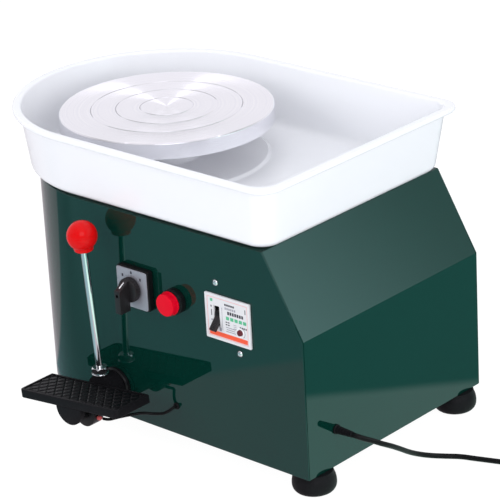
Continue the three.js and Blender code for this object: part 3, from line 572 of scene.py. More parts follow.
def coil_points():
    """The lead winds in on the surface, climbs round the inner turn and winds out on top."""
    start = LEAD_HEADING - math.pi / 2
    climb = (math.pi / 2 - start) / (2 * math.pi)     # share of a turn spent rising
    total = 2 * SPIRAL_TURNS + climb
    count = round(total * POINTS_PER_TURN)
    points = []
    for i in range(count + 1):
        turn = total * i / count
        angle = start + 2 * math.pi * turn
        from_inner = max(SPIRAL_TURNS - turn, turn - SPIRAL_TURNS - climb, 0)
        radius = INNER_TURN + TURN_PITCH * from_inner
        rise = min(1, max(0, (turn - SPIRAL_TURNS) / climb))
        height = LAYER_LOW + (LAYER_HIGH - LAYER_LOW) * (3 * rise ** 2 - 2 * rise ** 3)
        points.append((
            COIL_CENTRE.x + radius * math.cos(angle), COIL_CENTRE.y + radius * math.sin(angle), height,
        ))
    return points


def make_mains_lead():
    tail_y = COIL_CENTRE.y + OUTER_TURN
    tail = [
        (COIL_CENTRE.x - 10, tail_y, LAYER_HIGH - 0.2),
        (COIL_CENTRE.x - 25, tail_y + 0.4, PLUG_HEIGHT + 0.3),
        (COIL_CENTRE.x - 38, tail_y + 0.4, PLUG_HEIGHT),
    ]
    points = [tuple(LEAD_EXIT), *LEAD_ROUTE, *coil_points(), *tail]
    lead = cord_curve("mains_lead", points, LEAD_RADIUS, LEAD_RUBBER)
    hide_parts("mains_cord", "cord_coil", "cord_tail")
    return lead


lead = make_mains_lead()
lead.visible_glossy = False


def make_strain_relief():
    """Tapered rubber sleeve with bending slots round it."""
    length, collar, ribs = 24.0, 5.6, 5
    profile = [(4.5, -7.5), (4.5, 0.3), (collar, 0.3), (collar, 1.9), (4.7, 2.4)]
    for i in range(ribs):
        start = 3.6 + i * 3.6
        taper = 4.6 - 0.22 * i
        slot = taper - 0.7
        profile += [(taper, start), (taper - 0.05, start + 2.2), (slot, start + 2.5), (slot, start + 3.3)]
    profile += [(3.6, length - 1.6), (3.4, length - 0.4), (3.1, length), (3.02, length), (3.02, -7.5)]
    place = shift(*LEAD_EXIT) @ TURN["right"]
    return make_piece(
        "lead_strain_relief", lathe(profile, 40, ring=True), RUBBER, place, stands_for=["cord_strain_relief"],
    )


def make_tie():
    """A flat band closed round the bundle."""
    inner, outer = INNER_TURN - LEAD_RADIUS - GAP, OUTER_TURN + LEAD_RADIUS + GAP
    top = LAYER_HIGH + LEAD_RADIUS + GAP
    thick, half = 0.9, 4.6
    middle, width = (inner + outer) / 2, outer - inner
    height = top - 0.35
    centre = 0.35 + height / 2
    path_out = rectangle(width + 2 * thick, height + 2 * thick - 0.6, 3.4, middle, centre + 0.25)
    path_in = rectangle(width, height, 2.6, middle, centre + 0.1)
    sides = ((path_out, -half), (path_out, half), (path_in, half), (path_in, -half))
    band = loft([sideways(path, x) for path, x in sides], ring=True)
    place = shift(COIL_CENTRE.x, COIL_CENTRE.y)
    tie = make_piece("lead_tie", band, BLACK, place, stands_for=["cord_tie"])
    return bevel(tie, 0.25, 2)


def make_plug():
    """Moulded plug on its flat side, its blades pointing away from the coil."""
    low, high = measured("plug_body")
    back_x, centre_y = high.x, (low.y + high.y) / 2
    centre_z, half_thick = (low.z + high.z) / 2, (high.z - low.z) / 2
    stations = [
        (0.0, 4.4, 4.4), (-3.0, 4.9, 4.9), (-6.0, 5.0, 5.0), (-9.0, 5.5, 5.3), (-12.0, 6.4, 5.8),
        (-15.0, 9.6, 6.8), (-18.0, 12.2, 7.6), (-21.0, 12.9, 7.95), (-35.5, 12.9, 7.95), (-37.4, 12.5, 7.6),
        (-37.95, 11.8, 6.9),
    ]
    loops = []
    for x, half_width, half_height in stations:
        corner = min(half_width, half_height) * (0.98 if half_width < 6 else 0.6)
        loops.append(sideways(rectangle(2 * half_width, 2 * half_height, corner, steps=8), x))
    place = shift(back_x, centre_y, centre_z)
    plug = make_piece("lead_plug", loft(loops), RUBBER, place, stands_for=["plug_body"])
    grips = [
        prism(rectangle(1.1, 13, 0.5, -20.5 - 2.6 * i), half_thick - 0.5, half_thick - 0.02) for i in range(5)
    ]
    ribs = make_piece("lead_plug_grip", merge(*grips), RUBBER, place)
    bevel(ribs, 0.15, 2)
    return [plug, ribs]


def make_contacts():
    """Bright blades and an earth pin with a rounded end."""
    pieces = []
    for node in ("plug_blade_left", "plug_blade_right"):
        low, high = measured(node)
        outline = rounded_loop([
            (low.x, low.z, 2.2), (high.x, low.z, 0.1), (high.x, high.z, 0.1), (low.x, high.z, 2.2),
        ])
        blade = make_piece(f"{node}_metal", upright(outline, low.y, high.y), BRASS, stands_for=[node])
        hole = circle(1.6, low.x + 4.2, (low.z + high.z) / 2, 20)
        carve(blade, upright(hole, low.y - 1, high.y + 1))
        pieces.append(bevel(blade, 0.18, 2))
    low, high = measured("plug_ground_pin")
    radius = (high.z - low.z) / 2
    length = high.x - low.x
    turns = (math.pi / 2 * i / 6 for i in range(1, 7))
    tip = [(radius * math.sin(turn), radius * (1 - math.cos(turn)) * 0.8) for turn in turns]
    profile = [(0, 0), *tip, (radius, length), (0, length)]
    place = shift(low.x, (low.y + high.y) / 2, (low.z + high.z) / 2) @ TURN["right"]
    pin = make_piece(
        "plug_ground_pin_metal", lathe(profile, 28), BRASS, place, stands_for=["plug_ground_pin"],
    )
    return [*pieces, pin]


lead_fittings = [make_strain_relief(), make_tie(), *make_plug(), *make_contacts()]
for fitting in lead_fittings[1:]:
    fitting.visible_glossy = False


# ------------------------------------------------------------------ cabinet
SHEET = 1.5
wrap_low, wrap_high = measured("cabinet_wrap")
HALF_WIDTH = -wrap_low.y
CABINET_RIGHT = wrap_high.x
CABINET_LOW = wrap_low.z
DECK_Z = wrap_high.z
SLOPE = math.radians(60)
SLOPE_FOOT_Z = 189.7
SLOPE_TOP_X = CABINET_RIGHT - (DECK_Z - SLOPE_FOOT_Z) / math.tan(SLOPE)
FRONT_Y = -HALF_WIDTH
ARC_STEPS = 96
SWITCH = Vector((87.0, 196.5))
LAMP = Vector((145.0, 193.5))
BREAKER = Vector((224.0, 190.2))
CABLE_HOLE = Vector((135.0, 61.5))
PIVOT = Vector((41.0, 62.0))
PANEL_HOLE = 4.3


def wrap_top(x):
    """Height of the cabinet's side at x, level along the deck and falling along the slope."""
    return DECK_Z - max(0, x - SLOPE_TOP_X) * math.tan(SLOPE)


def wrap_path(inset):
    """Plan of the bent side sheet, from the front right corner round the left end to the back."""
    radius = HALF_WIDTH - inset
    front = [Vector((x, -radius)) for x in (CABINET_RIGHT, SLOPE_TOP_X, 120)]
    arc = [
        Vector((-radius * math.sin(math.pi * i / ARC_STEPS), -radius * math.cos(math.pi * i / ARC_STEPS)))
        for i in range(ARC_STEPS + 1)
    ]
    return [*front, *arc, *[Vector((p.x, -p.y)) for p in reversed(front)]]


def make_wrap():
    outer, inner = wrap_path(0), wrap_path(SHEET)
    sections = [
        [
            Vector((out.x, out.y, CABINET_LOW)), Vector((out.x, out.y, wrap_top(out.x))),
            Vector((into.x, into.y, wrap_top(into.x))), Vector((into.x, into.y, CABINET_LOW)),
        ]
        for out, into in zip(outer, inner)
    ]
    wrap = make_piece("cabinet_side_sheet", loft(sections), GREEN, stands_for=["cabinet_wrap"])
    bevel(wrap, 0.6, 3)
    through = (FRONT_Y - 3, FRONT_Y + SHEET + 3)
    carve(
        wrap, upright(circle(6, *SWITCH, 32), *through), upright(circle(11.3, *LAMP, 40), *through),
        upright(rectangle(58, 46, 2, *BREAKER), *through),
        upright(circle(PANEL_HOLE, *CABLE_HOLE, 28), *through), upright(circle(PANEL_HOLE, *PIVOT, 28), *through),
    )
    flat_faces(wrap)


def make_end_panel():
    """One sheet bent once, nested between the sides, with the lead's hole."""
    direction = Vector((-math.cos(SLOPE), math.sin(SLOPE)))
    inward = Vector((-direction.y, direction.x)) * SHEET
    top = Vector((SLOPE_TOP_X, DECK_Z))
    inner_top = Vector((top.x + inward.x - direction.x * inward.y / direction.y, DECK_Z))
    bend = SHEET * math.tan((math.pi / 2 - SLOPE) / 2)
    outer = rounded([(CABINET_RIGHT, CABINET_LOW), (CABINET_RIGHT, SLOPE_FOOT_Z, 3.4), top], 8)
    inner = rounded([
        (CABINET_RIGHT - SHEET, CABINET_LOW), (CABINET_RIGHT - SHEET, SLOPE_FOOT_Z - bend, 1.9), inner_top,
    ], 8)
    half = HALF_WIDTH - SHEET - GAP
    panel = make_piece(
        "end_panel_sheet", upright([*outer, *reversed(inner)], -half, half), GREEN, stands_for=["end_panel"],
    )
    bevel(panel, 0.3, 2)
    hole = move(prism(circle(5, steps=32), -6, 6), shift(*LEAD_EXIT) @ TURN["right"])
    flat_faces(carve(panel, hole))


def make_foot(node):
    """Soft round rubber foot, hollowed a little where its screw sits."""
    low, high = measured(node)
    outline = smooth_line([
        (13, 0.0), (17.5, 0.2), (21.6, 1.9), (24.3, 5.8), (25, 11), (24.2, 17), (22.6, 21.4),
        (21.5, high.z - 0.2),
    ], 5)
    profile = [(0, 5), (7, 5), (7.6, 4.6), (8, 0.6), (8.8, 0), *outline, (0, high.z - 0.2)]
    place = shift((low.x + high.x) / 2, (low.y + high.y) / 2)
    make_piece(f"{node}_rubber", lathe(profile, 72), RUBBER, place, stands_for=[node])


make_wrap()
make_end_panel()
for corner in ("front_right", "rear_right", "front_left", "rear_left"):
    make_foot(f"foot_{corner}")


# ------------------------------------------------------------------ basin
basin_low, basin_high = measured("basin")
BASIN_BOTTOM, BASIN_TOP = basin_low.z, basin_high.z
BASIN_FLOOR = BASIN_BOTTOM + 3
RIM_HALF = basin_high.y
BASE_HALF = 145.6
BASE_CENTRE, BASE_RIGHT, BASE_CORNER = -13, 275.6, 20


def d_loop(half_width, centre_x, right, corner):
    """Plan with a half-round left end and rounded right corners, as points from the front left."""
    side, bend, end, arc = 10, 12, 10, 96
    loop = []

    def line(start, finish, steps):
        loop.extend(start.lerp(finish, i / steps) for i in range(steps))

    def curve(centre, radius, first, last, steps):
        for i in range(steps):
            angle = first + (last - first) * i / steps
            loop.append(centre + radius * Vector((math.cos(angle), math.sin(angle))))

    in_x, in_y = right - corner, half_width - corner
    line(Vector((centre_x, -half_width)), Vector((in_x, -half_width)), side)
    curve(Vector((in_x, -in_y)), corner, -math.pi / 2, 0, bend)
    line(Vector((right, -in_y)), Vector((right, in_y)), end)
    curve(Vector((in_x, in_y)), corner, 0, math.pi / 2, bend)
    line(Vector((in_x, half_width)), Vector((centre_x, half_width)), side)
    curve(Vector((centre_x, 0)), half_width, math.pi / 2, 1.5 * math.pi, arc)
    return loop


def basin_outline(half_width, height):
    """The basin's plan at one half width: its ends and corners follow from how far out it is."""
    share = (half_width - BASE_HALF) / (RIM_HALF - BASE_HALF)
    centre_x = BASE_CENTRE + 2.4 * share
    right = BASE_RIGHT + 26.4 * share
    corner = max(4, BASE_CORNER + 6 * share)
    return [Vector((p.x, p.y, height)) for p in d_loop(half_width, centre_x, right, corner)]


def make_basin():
    """A moulded tub: raised floor round the wheel, a collar for the spindle and a rolled lip."""
    directions = [p.normalized() for p in d_loop(BASE_HALF, BASE_CENTRE, BASE_RIGHT, BASE_CORNER)]

    def round_loop(radius, height):
        return [Vector((d.x * radius, d.y * radius, height)) for d in directions]

    rise = 3
    shell = rounded([
        (BASE_HALF - 14, BASIN_BOTTOM), (151.57, BASIN_BOTTOM, 11), (161.3, BASIN_TOP - 6, 1.6),
        (RIM_HALF - 0.05, BASIN_TOP - 6, 2.6), (RIM_HALF - 0.05, BASIN_TOP, 2.6),
        (159.6, BASIN_TOP, 3.2), (148.8, BASIN_FLOOR, 12), (BASE_HALF - 14, BASIN_FLOOR),
    ], 7)
    middle = rounded([
        (124, BASIN_FLOOR), (118.5, BASIN_FLOOR, 3), (115, BASIN_FLOOR + rise, 3),
        (34, BASIN_FLOOR + rise, 5), (34, 313, 1.4), (31, 313, 1.4), (31, BASIN_BOTTOM + rise, 3),
        (115, BASIN_BOTTOM + rise, 2), (119, BASIN_BOTTOM, 2), (124, BASIN_BOTTOM),
    ], 5)
    loops = [basin_outline(p.x, p.y) for p in shell] + [round_loop(p.x, p.y) for p in middle]
    make_piece("splash_tub", loft(loops, ring=True), WHITE, body="splash_basin", stands_for=["basin"])


make_basin()


# ------------------------------------------------------------------ wheel head
HEAD_RADIUS = head_high.x / MM - AXIS.x / MM
HEAD_TOP = head_high.z / MM
GROOVES = (31, 59, 88)       # radii
GROOVE_HALF, GROOVE_DEPTH = 0.6, 0.9
SPINDLE_BORE, BORE_TOP = 7.9, 339       # a radius and a height
BOSS_LOW = 300


def centred_on_axis(piece):
    """Puts the piece's own origin on the wheel's axis, for finishes that run round it."""
    piece.data.transform(Matrix.Translation((-AXIS.x, -AXIS.y, 0)))
    piece.matrix_world = Matrix.Translation((AXIS.x, AXIS.y, 0))


def make_wheel_head():
    """Turned plate with three shallow centring grooves, chamfered edge and a boss beneath."""
    corners = [(0, HEAD_TOP)]
    for radius in GROOVES:
        before, after = radius - GROOVE_HALF, radius + GROOVE_HALF
        corners += [(before, HEAD_TOP, 0.1), (radius, HEAD_TOP - GROOVE_DEPTH, 0.15), (after, HEAD_TOP, 0.1)]
    rim = HEAD_RADIUS
    corners += [
        (rim - 1.6, HEAD_TOP, 0.5), (rim, HEAD_TOP - 1.6, 0.5), (rim, HEAD_TOP - 18.9, 0.6),
        (rim - 1, HEAD_TOP - 19.9, 0.4), (rim - 9, HEAD_TOP - 19.9, 1), (rim - 11, HEAD_TOP - 11.9, 3),
        (28, HEAD_TOP - 11.9, 4), (20, HEAD_TOP - 17.9, 3), (20, BOSS_LOW, 1),
        (SPINDLE_BORE, BOSS_LOW, 0.6), (SPINDLE_BORE, BORE_TOP), (0, BORE_TOP),
    ]
    head = make_piece(
        "wheel_head_turned", lathe(rounded(corners, 4), 192), ALUMINIUM, body="throwing_head",
        stands_for=["wheel_head"],
    )
    pin_slot = prism(rectangle(42, 6, 0.05), BOSS_LOW - 1, BOSS_LOW + 8)
    centred_on_axis(carve(head, pin_slot))


make_wheel_head()


# ------------------------------------------------------------------ rotary switch
MARK_REACH, DOT_REACH = 19.2, 15.9


def round_the_switch(reach, angle):
    """X and Z of a place beside the knob, its angle in degrees from straight up."""
    lean = math.radians(angle)
    return SWITCH.x + reach * math.sin(lean), SWITCH.y + reach * math.cos(lean)


def make_switch():
    """Black frame and silver plate with three generic position marks and a row of dots."""
    base_low, base_high = measured("switch_base")
    plate_low, plate_high = measured("switch_plate")
    stem = upright(circle(6, *SWITCH, 32), plate_low.y - 3, base_high.y + 3)
    frame_shape = upright(rectangle(48.3, 48.3, 3.2, *SWITCH), base_low.y, base_high.y)
    base = make_piece("switch_frame", frame_shape, BLACK, stands_for=["switch_base"])
    carve(bevel(base, 0.7), stem)
    face_shape = upright(rectangle(45.9, 45.9, 2.8, *SWITCH), plate_low.y + 0.15, plate_high.y)
    plate = make_piece("switch_face", face_shape, SILVER, stands_for=["switch_plate"])
    carve(bevel(plate, 0.4), stem)
    marks = []
    for angle in (-45, 0, 45):
        block = rectangle(2.3, 3.4, 0.6, *round_the_switch(MARK_REACH, angle))
        marks.append(upright(block, plate_low.y, plate_low.y + 0.4))
    for angle in range(-45, 46, 15):
        dot = circle(0.35, *round_the_switch(DOT_REACH, angle), 10)
        marks.append(upright(dot, plate_low.y + 0.02, plate_low.y + 0.4))
    make_piece("switch_position_marks", merge(*marks), INK_DARK)


def make_switch_knob():
    """Round skirt with an upright wing; a white line on the wing's sloping top shows where it points."""
    low, high = measured("switch_knob")
    skirt_front, wing_front = high.y - 8.2, low.y
    radius = 14.4
    skirt = lathe([
        (0, 0), (radius - 0.6, 0), (radius, 0.6), (radius, 5.4), (radius - 0.8, 7.2),
        (radius - 2.2, 8.0), (0, 8.2),
    ], 72)
    place = shift(SWITCH.x, high.y, SWITCH.y) @ TURN["front"]
    knob = make_piece(
        "switch_knob_skirt", skirt, KNOB_BLACK, place, body="direction_knob", stands_for=["switch_knob"],
    )
    flutes = []
    for i in range(24):
        angle = 2 * math.pi * (i + 0.5) / 24
        x, z = SWITCH.x + (radius + 0.25) * math.cos(angle), SWITCH.y + (radius + 0.25) * math.sin(angle)
        flutes.append(upright(circle(0.55, x, z, 10), high.y - 6.6, high.y - 0.8))
    carve(knob, merge(*flutes))
    side = rounded_loop([
        (skirt_front + 1.2, -23, 0.5), (skirt_front + 1.2, 14, 0.5), (wing_front, 4.5, 1.6),
        (wing_front, -23, 1.4),
    ], 5)
    half = 4.0
    wing = loft([sideways(side, SWITCH.x + x, z=SWITCH.y) for x in (-half, half)])
    handle = make_piece("switch_knob_wing", wing, KNOB_BLACK, body="direction_knob")
    bevel(handle, 0.7, 3)
    screw_z = SWITCH.y - 1.2
    carve(handle, upright(circle(2.0, SWITCH.x, screw_z, 24), wing_front - 1, wing_front + 4))
    slope = Vector((wing_front - skirt_front - 1.2, 4.5 - 14))
    middle = Vector((skirt_front + 1.2, 14)) + slope * 0.5
    lean = math.atan2(-slope.y, -slope.x)
    line = prism(rectangle(1.5, 8.6, 0.6), -0.4, 0.16)
    place = shift(SWITCH.x, middle.x, SWITCH.y + middle.y) @ Matrix.Rotation(lean, 4, "X")
    make_piece("switch_pointer_line", line, MARK_WHITE, place, body="direction_knob")


make_switch()
make_switch_knob()


# ------------------------------------------------------------------ pilot lamp
def make_lamp():
    low, high = measured("lamp_bezel")
    depth = high.y - low.y
    place = shift(LAMP.x, high.y, LAMP.y) @ TURN["front"]
    bezel = rounded([
        (11.4, 0), (14.9, 0, 0.3), (14.9, depth - 2.6, 0.3), (14.3, depth - 2.2, 0.2),
        (14.3, depth - 1.4, 0.2), (14.9, depth - 1.0, 0.2), (14.6, depth, 0.3), (11.4, depth),
    ], 3)
    make_piece("lamp_collar", lathe(bezel, 72, ring=True), BLACK, place, stands_for=["lamp_bezel"])
    lens_low, lens_high = measured("lamp_lens")
    height = lens_high.y - lens_low.y
    place = shift(LAMP.x, lens_high.y, LAMP.y) @ TURN["front"]
    lens = rounded([
        (0, 0), (13.9, 0, 0.3), (13.9, 1.4, 0.3), (13.5, 1.8, 0.2), (12.9, height, 1.3), (0, height),
    ], 5)
    make_piece("lamp_cap", lathe(lens, 72), LENS, place, stands_for=["lamp_lens"])


make_lamp()


# ------------------------------------------------------------------ circuit breaker
TOGGLE_X = BREAKER.x - 15.8


def make_breaker():
    """White moulding with a printed face: plain bars stand where a print would be."""
    low, high = measured("breaker_face")
    width, height = high.x - low.x, high.z - low.z
    front = low.y
    outline = rectangle(width - 0.1, height - 0.1, 1.2, *BREAKER)
    face = make_piece("breaker_moulding", upright(outline, front, high.y), PAPER, stands_for=["breaker_face"])
    bevel(face, 0.5, 3)
    recess = upright(rectangle(width - 6.4, height - 6.4, 0.6, *BREAKER), front - 1, front + 0.35)
    slot = upright(rectangle(8.4, 24, 0.6, TOGGLE_X, BREAKER.y + 1.4), front - 2, high.y + 2)
    button = measured("breaker_test_button")
    button_x, button_z = (button[0].x + button[1].x) / 2, (button[0].z + button[1].z) / 2
    well = upright(circle(3.7, button_x, button_z, 32), front - 2, high.y + 2)
    carve(face, recess, slot, well)

    sheet = front + 0.35            # surface that is printed on
    left, top = low.x, high.z

    def bar(u, v, bar_width, bar_height, radius=0.15):
        """A printed bar, its centre given as shares of the face's width and of its height from the top."""
        outline = rectangle(bar_width, bar_height, radius, left + u * width, top - v * height, steps=2)
        return upright(outline, sheet - 0.08, sheet + 0.1)

    def border(inset, thick):
        outer, inner = (
            rectangle(width - 2 * edge, height - 2 * edge, radius, *BREAKER, steps=2)
            for edge, radius in ((inset, 0.4), (inset + thick, 0.3))
        )
        corners = [(outer, sheet + 0.1), (outer, sheet - 0.06), (inner, sheet - 0.06), (inner, sheet + 0.1)]
        return loft([[Vector((p[0], y, p[1])) for p in line] for line, y in corners], ring=True)

    def dashes(u, v, count, step, dash_width, dash_height):
        return [bar(u + i * step, v, dash_width, dash_height) for i in range(count)]

    make_piece("breaker_print_border", border(3.5, 0.7), INK_PINK)
    make_piece("breaker_print_band", bar(0.505, 0.862, 55.5, 5.4, 0.3), INK_ORANGE)
    green = [bar(0.15, 0.14, 3.6, 3.4)] + dashes(0.50, 0.455, 5, 0.095, 4.6, 4.0)
    make_piece("breaker_print_green", merge(*green), INK_GREEN)
    dark = [
        *dashes(0.46, 0.165, 5, 0.045, 2.2, 2.3), *dashes(0.52, 0.335, 7, 0.052, 2.5, 3.8),
        *dashes(0.78, 0.575, 4, 0.042, 1.9, 2.0), bar(0.14, 0.28, 1.6, 2.2), bar(0.145, 0.42, 1.1, 7.4),
        bar(0.9, 0.2, 1.0, 5.4), *dashes(0.47, 0.545, 2, 0.05, 2.4, 1.2),
        *dashes(0.47, 0.6, 2, 0.05, 2.4, 1.4),
    ]
    make_piece("breaker_print_dark", merge(*dark), INK_DARK)
    grey = [
        *dashes(0.46, 0.245, 6, 0.042, 1.7, 2.6), bar(0.38, 0.5, 0.5, 27), bar(0.145, 0.58, 1.8, 1.8),
        *[bar(0.56, 0.66 + 0.045 * i, 14 - 2 * (i % 2), 0.9) for i in range(3)],
        *[bar(0.66, 0.56 + 0.04 * i, 4.6, 0.6) for i in range(3)], bar(0.33, 0.745, 3.0, 4.2),
    ]
    make_piece("breaker_print_grey", merge(*grey), INK_GREY)
    ring_place = shift(button_x, sheet + 0.1, button_z) @ TURN["front"]
    ring = lathe([(3.75, 0), (5.6, 0), (5.6, 0.3), (5.2, 0.45), (3.75, 0.45)], 48, ring=True)
    make_piece("breaker_button_ring", ring, MARK_WHITE, ring_place)
    sweep = [math.radians(a) for a in range(-50, 71, 10)]
    arc = [Vector((button_x + r * math.cos(a), button_z + r * math.sin(a)))
           for r, angles in ((7.0, sweep), (6.3, sweep[::-1])) for a in angles]
    make_piece("breaker_print_arc", upright(arc, sheet - 0.06, sheet + 0.1), INK_GREY)


def make_toggle():
    """Rounded handle with grip grooves on a round hub."""
    low, high = measured("breaker_toggle")
    pivot = Vector((TOGGLE_X, FRONT_Y + 3, 193.0))
    half = (high.x - low.x) / 2 - 0.05
    droop = math.radians(49.5)
    place = shift(*pivot) @ Matrix.Rotation(droop, 4, "X")
    hub_place = shift(pivot.x - half, pivot.y, pivot.z) @ TURN["right"]
    hub = rounded([(0, 0), (4.95, 0, 0.3), (4.95, 2 * half, 0.3), (0, 2 * half)], 3)
    make_piece(
        "breaker_toggle_hub", lathe(hub, 48), BLACK, hub_place, body="breaker_lever",
        stands_for=["breaker_toggle"],
    )
    side = rounded_loop([(-21.3, -2.7, 1.2), (-1, -2.2, 0.4), (-1, 2.2, 0.4), (-21.3, 2.7, 1.2)], 5)
    handle = loft([sideways(side, x) for x in (-half, half)])
    lever = make_piece("breaker_toggle_handle", handle, KNOB_BLACK, place, body="breaker_lever")
    bevel(lever, 0.5, 3)
    groove = move(prism(rectangle(0.7, 2 * half + 2, 0.2), 2.3, 4), Matrix.Rotation(math.pi / 2, 4, "Z"))
    grooves = [move(groove, shift(0, -19.3 + 1.7 * i)) for i in range(5)]
    carve(lever, merge(*grooves), place=place)


def seat(node):
    """Where a round node's back stands, facing front, with its radius and its depth."""
    low, high = measured(node)
    place = shift((low.x + high.x) / 2, high.y, (low.z + high.z) / 2) @ TURN["front"]
    return place, (high.x - low.x) / 2, high.y - low.y


def make_test_button():
    place, radius, depth = seat("breaker_test_button")
    profile = rounded([(0, 0), (radius, 0, 0.2), (radius, depth, 0.7), (0, depth - 0.35)], 5)
    make_piece(
        "breaker_button_cap", lathe(profile, 40), DARK_RED, place, body="test_button",
        stands_for=["breaker_test_button"],
    )


def make_screw(node):
    """Pan-head screw with a cross recess."""
    place, radius, depth = seat(node)
    profile = rounded([
        (0, 0), (radius, 0, 0.1), (radius, depth * 0.35, 0.5), (radius * 0.62, depth, 1.2), (0, depth),
    ], 5)
    screw = make_piece(f"{node}_head", lathe(profile, 40), CHROME, place, stands_for=[node])
    arm = prism(rectangle(0.8, 3.6, 0.1), depth - 0.9, depth + 1)
    for angle in (20, 110):
        carve(screw, move(arm, Matrix.Rotation(math.radians(angle), 4, "Z")), place=place)


make_breaker()
make_toggle()
make_test_button()
make_screw("breaker_screw_upper")
make_screw("breaker_screw_lower")


# ------------------------------------------------------------------ pedal and lever
PEDAL_TILT = math.radians(6.09)
ROCKER = shift(PIVOT.x, 0, PIVOT.y) @ Matrix.Rotation(-PEDAL_TILT, 4, "Y")
PEDAL_HALF = 79.25
PEDAL_FRONT, PEDAL_BACK = -231.0, -178.0
PLATE_LOW, PLATE_TOP, TREAD_TOP = 0.7, 9.4, 11.2
BOSS_RADIUS = 21.0
BOSS_FRONT, BOSS_BACK = -198.0, -158.7
PIVOT_BORE = ROD_BORE = 4.3
CHEEK_RADIUS = 20
LEVER_LEAN = (
    ROCKER @ shift(-1.5, -173, BOSS_RADIUS + GAP)
    @ Matrix.Rotation(math.radians(3.2), 4, "X") @ Matrix.Rotation(PEDAL_TILT - math.radians(0.7), 4, "Y")
)


def pedal_plan(inset, front_corner, back_corner):
    x, front, back = PEDAL_HALF - inset, PEDAL_FRONT + inset, PEDAL_BACK - inset
    return rounded_loop([
        (-x, front, front_corner), (x, front, front_corner), (x, back, back_corner), (-x, back, back_corner),
    ], 8)


def make_pedal_plate():
    """Cast rubber-covered plate with a raised edge, its front cheek and the boss on the pivot."""
    plate = make_piece(
        "pedal_casting", prism(pedal_plan(0.05, 5.5, 1.5), PLATE_LOW, TREAD_TOP - 0.2), RUBBER, ROCKER,
        body="speed_pedal", stands_for=["pedal_plate"],
    )
    bevel(plate, 1.1, 4)
    carve(plate, prism(pedal_plan(3.2, 3.5, 1.2), TREAD_TOP - 1.6, TREAD_TOP + 2), place=ROCKER)
    cheek_front = PEDAL_FRONT + 0.05
    turns = (math.pi + math.pi * i / 48 for i in range(49))
    arc = [Vector((CHEEK_RADIUS * math.cos(turn), CHEEK_RADIUS * math.sin(turn))) for turn in turns]
    top = PLATE_LOW + 0.6
    outline = [Vector((-CHEEK_RADIUS, top)), *arc, Vector((CHEEK_RADIUS, top))]
    cheek = make_piece(
        "pedal_cheek", upright(outline, cheek_front, cheek_front + 7.9), RUBBER, ROCKER, body="speed_pedal",
    )
    bevel(cheek, 0.9, 3)
    length, radius = BOSS_BACK - BOSS_FRONT, BOSS_RADIUS - 0.05
    profile = rounded([(PIVOT_BORE, 0), (radius, 0, 1.2), (radius, length, 1.2), (PIVOT_BORE, length)], 4)
    place = ROCKER @ shift(0, BOSS_BACK, 0) @ TURN["front"]
    boss = make_piece("pedal_boss", lathe(profile, 80, ring=True), RUBBER, place, body="speed_pedal")
    front, back = BOSS_FRONT - 2, PEDAL_BACK + 0.2
    plate_room = prism([(-40, front), (40, front), (40, back), (-40, back)], PLATE_TOP - 0.6, 40)
    carve(boss, plate_room, place=ROCKER)


SCALE_WIDTH, SCALE_DEPTH = 13.2, 15.0
SCALE_RISE = 1.5


def tread_height(x, y):
    """Height of the tread's overlapping scales: each swells toward its rounded front end."""
    u, v = x / SCALE_WIDTH + y / SCALE_DEPTH, x / SCALE_WIDTH - y / SCALE_DEPTH
    a, b = u - math.floor(u) - 0.5, v - math.floor(v) - 0.5
    along, across = a - b, a + b
    swell = 0.62 - 0.38 * along
    edge = 0.5 - max(abs(a), abs(b))
    wall = min(1.0, edge / 0.13)
    return swell * wall * (1 - 0.35 * across ** 2)


def make_tread():
    """Moulded rubber mat: staggered scales inside a plain border."""
    inset = 3.9
    x_half, front, back = PEDAL_HALF - inset, PEDAL_FRONT + inset, PEDAL_BACK - inset
    columns, rows = 280, 84
    floor_z = PLATE_TOP + 0.25
    points, faces = [], []
    for j in range(rows + 1):
        for i in range(columns + 1):
            x = -x_half + 2 * x_half * i / columns
            y = front + (back - front) * j / rows
            border = min(x + x_half, x_half - x, y - front, back - y)
            fade = min(1, max(0, border / 1.2))
            points.append(Vector((x, y, floor_z + SCALE_RISE * tread_height(x, y) * fade)))
    for j in range(rows):
        for i in range(columns):
            k = j * (columns + 1) + i
            faces.append((k, k + 1, k + columns + 2, k + columns + 1))
    rim = (
        list(range(columns + 1))
        + [j * (columns + 1) + columns for j in range(1, rows + 1)]
        + [rows * (columns + 1) + i for i in range(columns - 1, -1, -1)]
        + [j * (columns + 1) for j in range(rows - 1, 0, -1)]
    )
    start, count = len(points), len(rim)
    points.extend(Vector((points[k].x, points[k].y, PLATE_TOP - 0.2)) for k in rim)
    for k in range(count):
        n = (k + 1) % count
        faces.append((rim[n], rim[k], start + k, start + n))
    faces.append(tuple(range(start + count - 1, start - 1, -1)))
    make_piece(
        "pedal_tread_scales", (points, faces), TREAD, ROCKER, body="speed_pedal",
        stands_for=["pedal_tread"],
    )


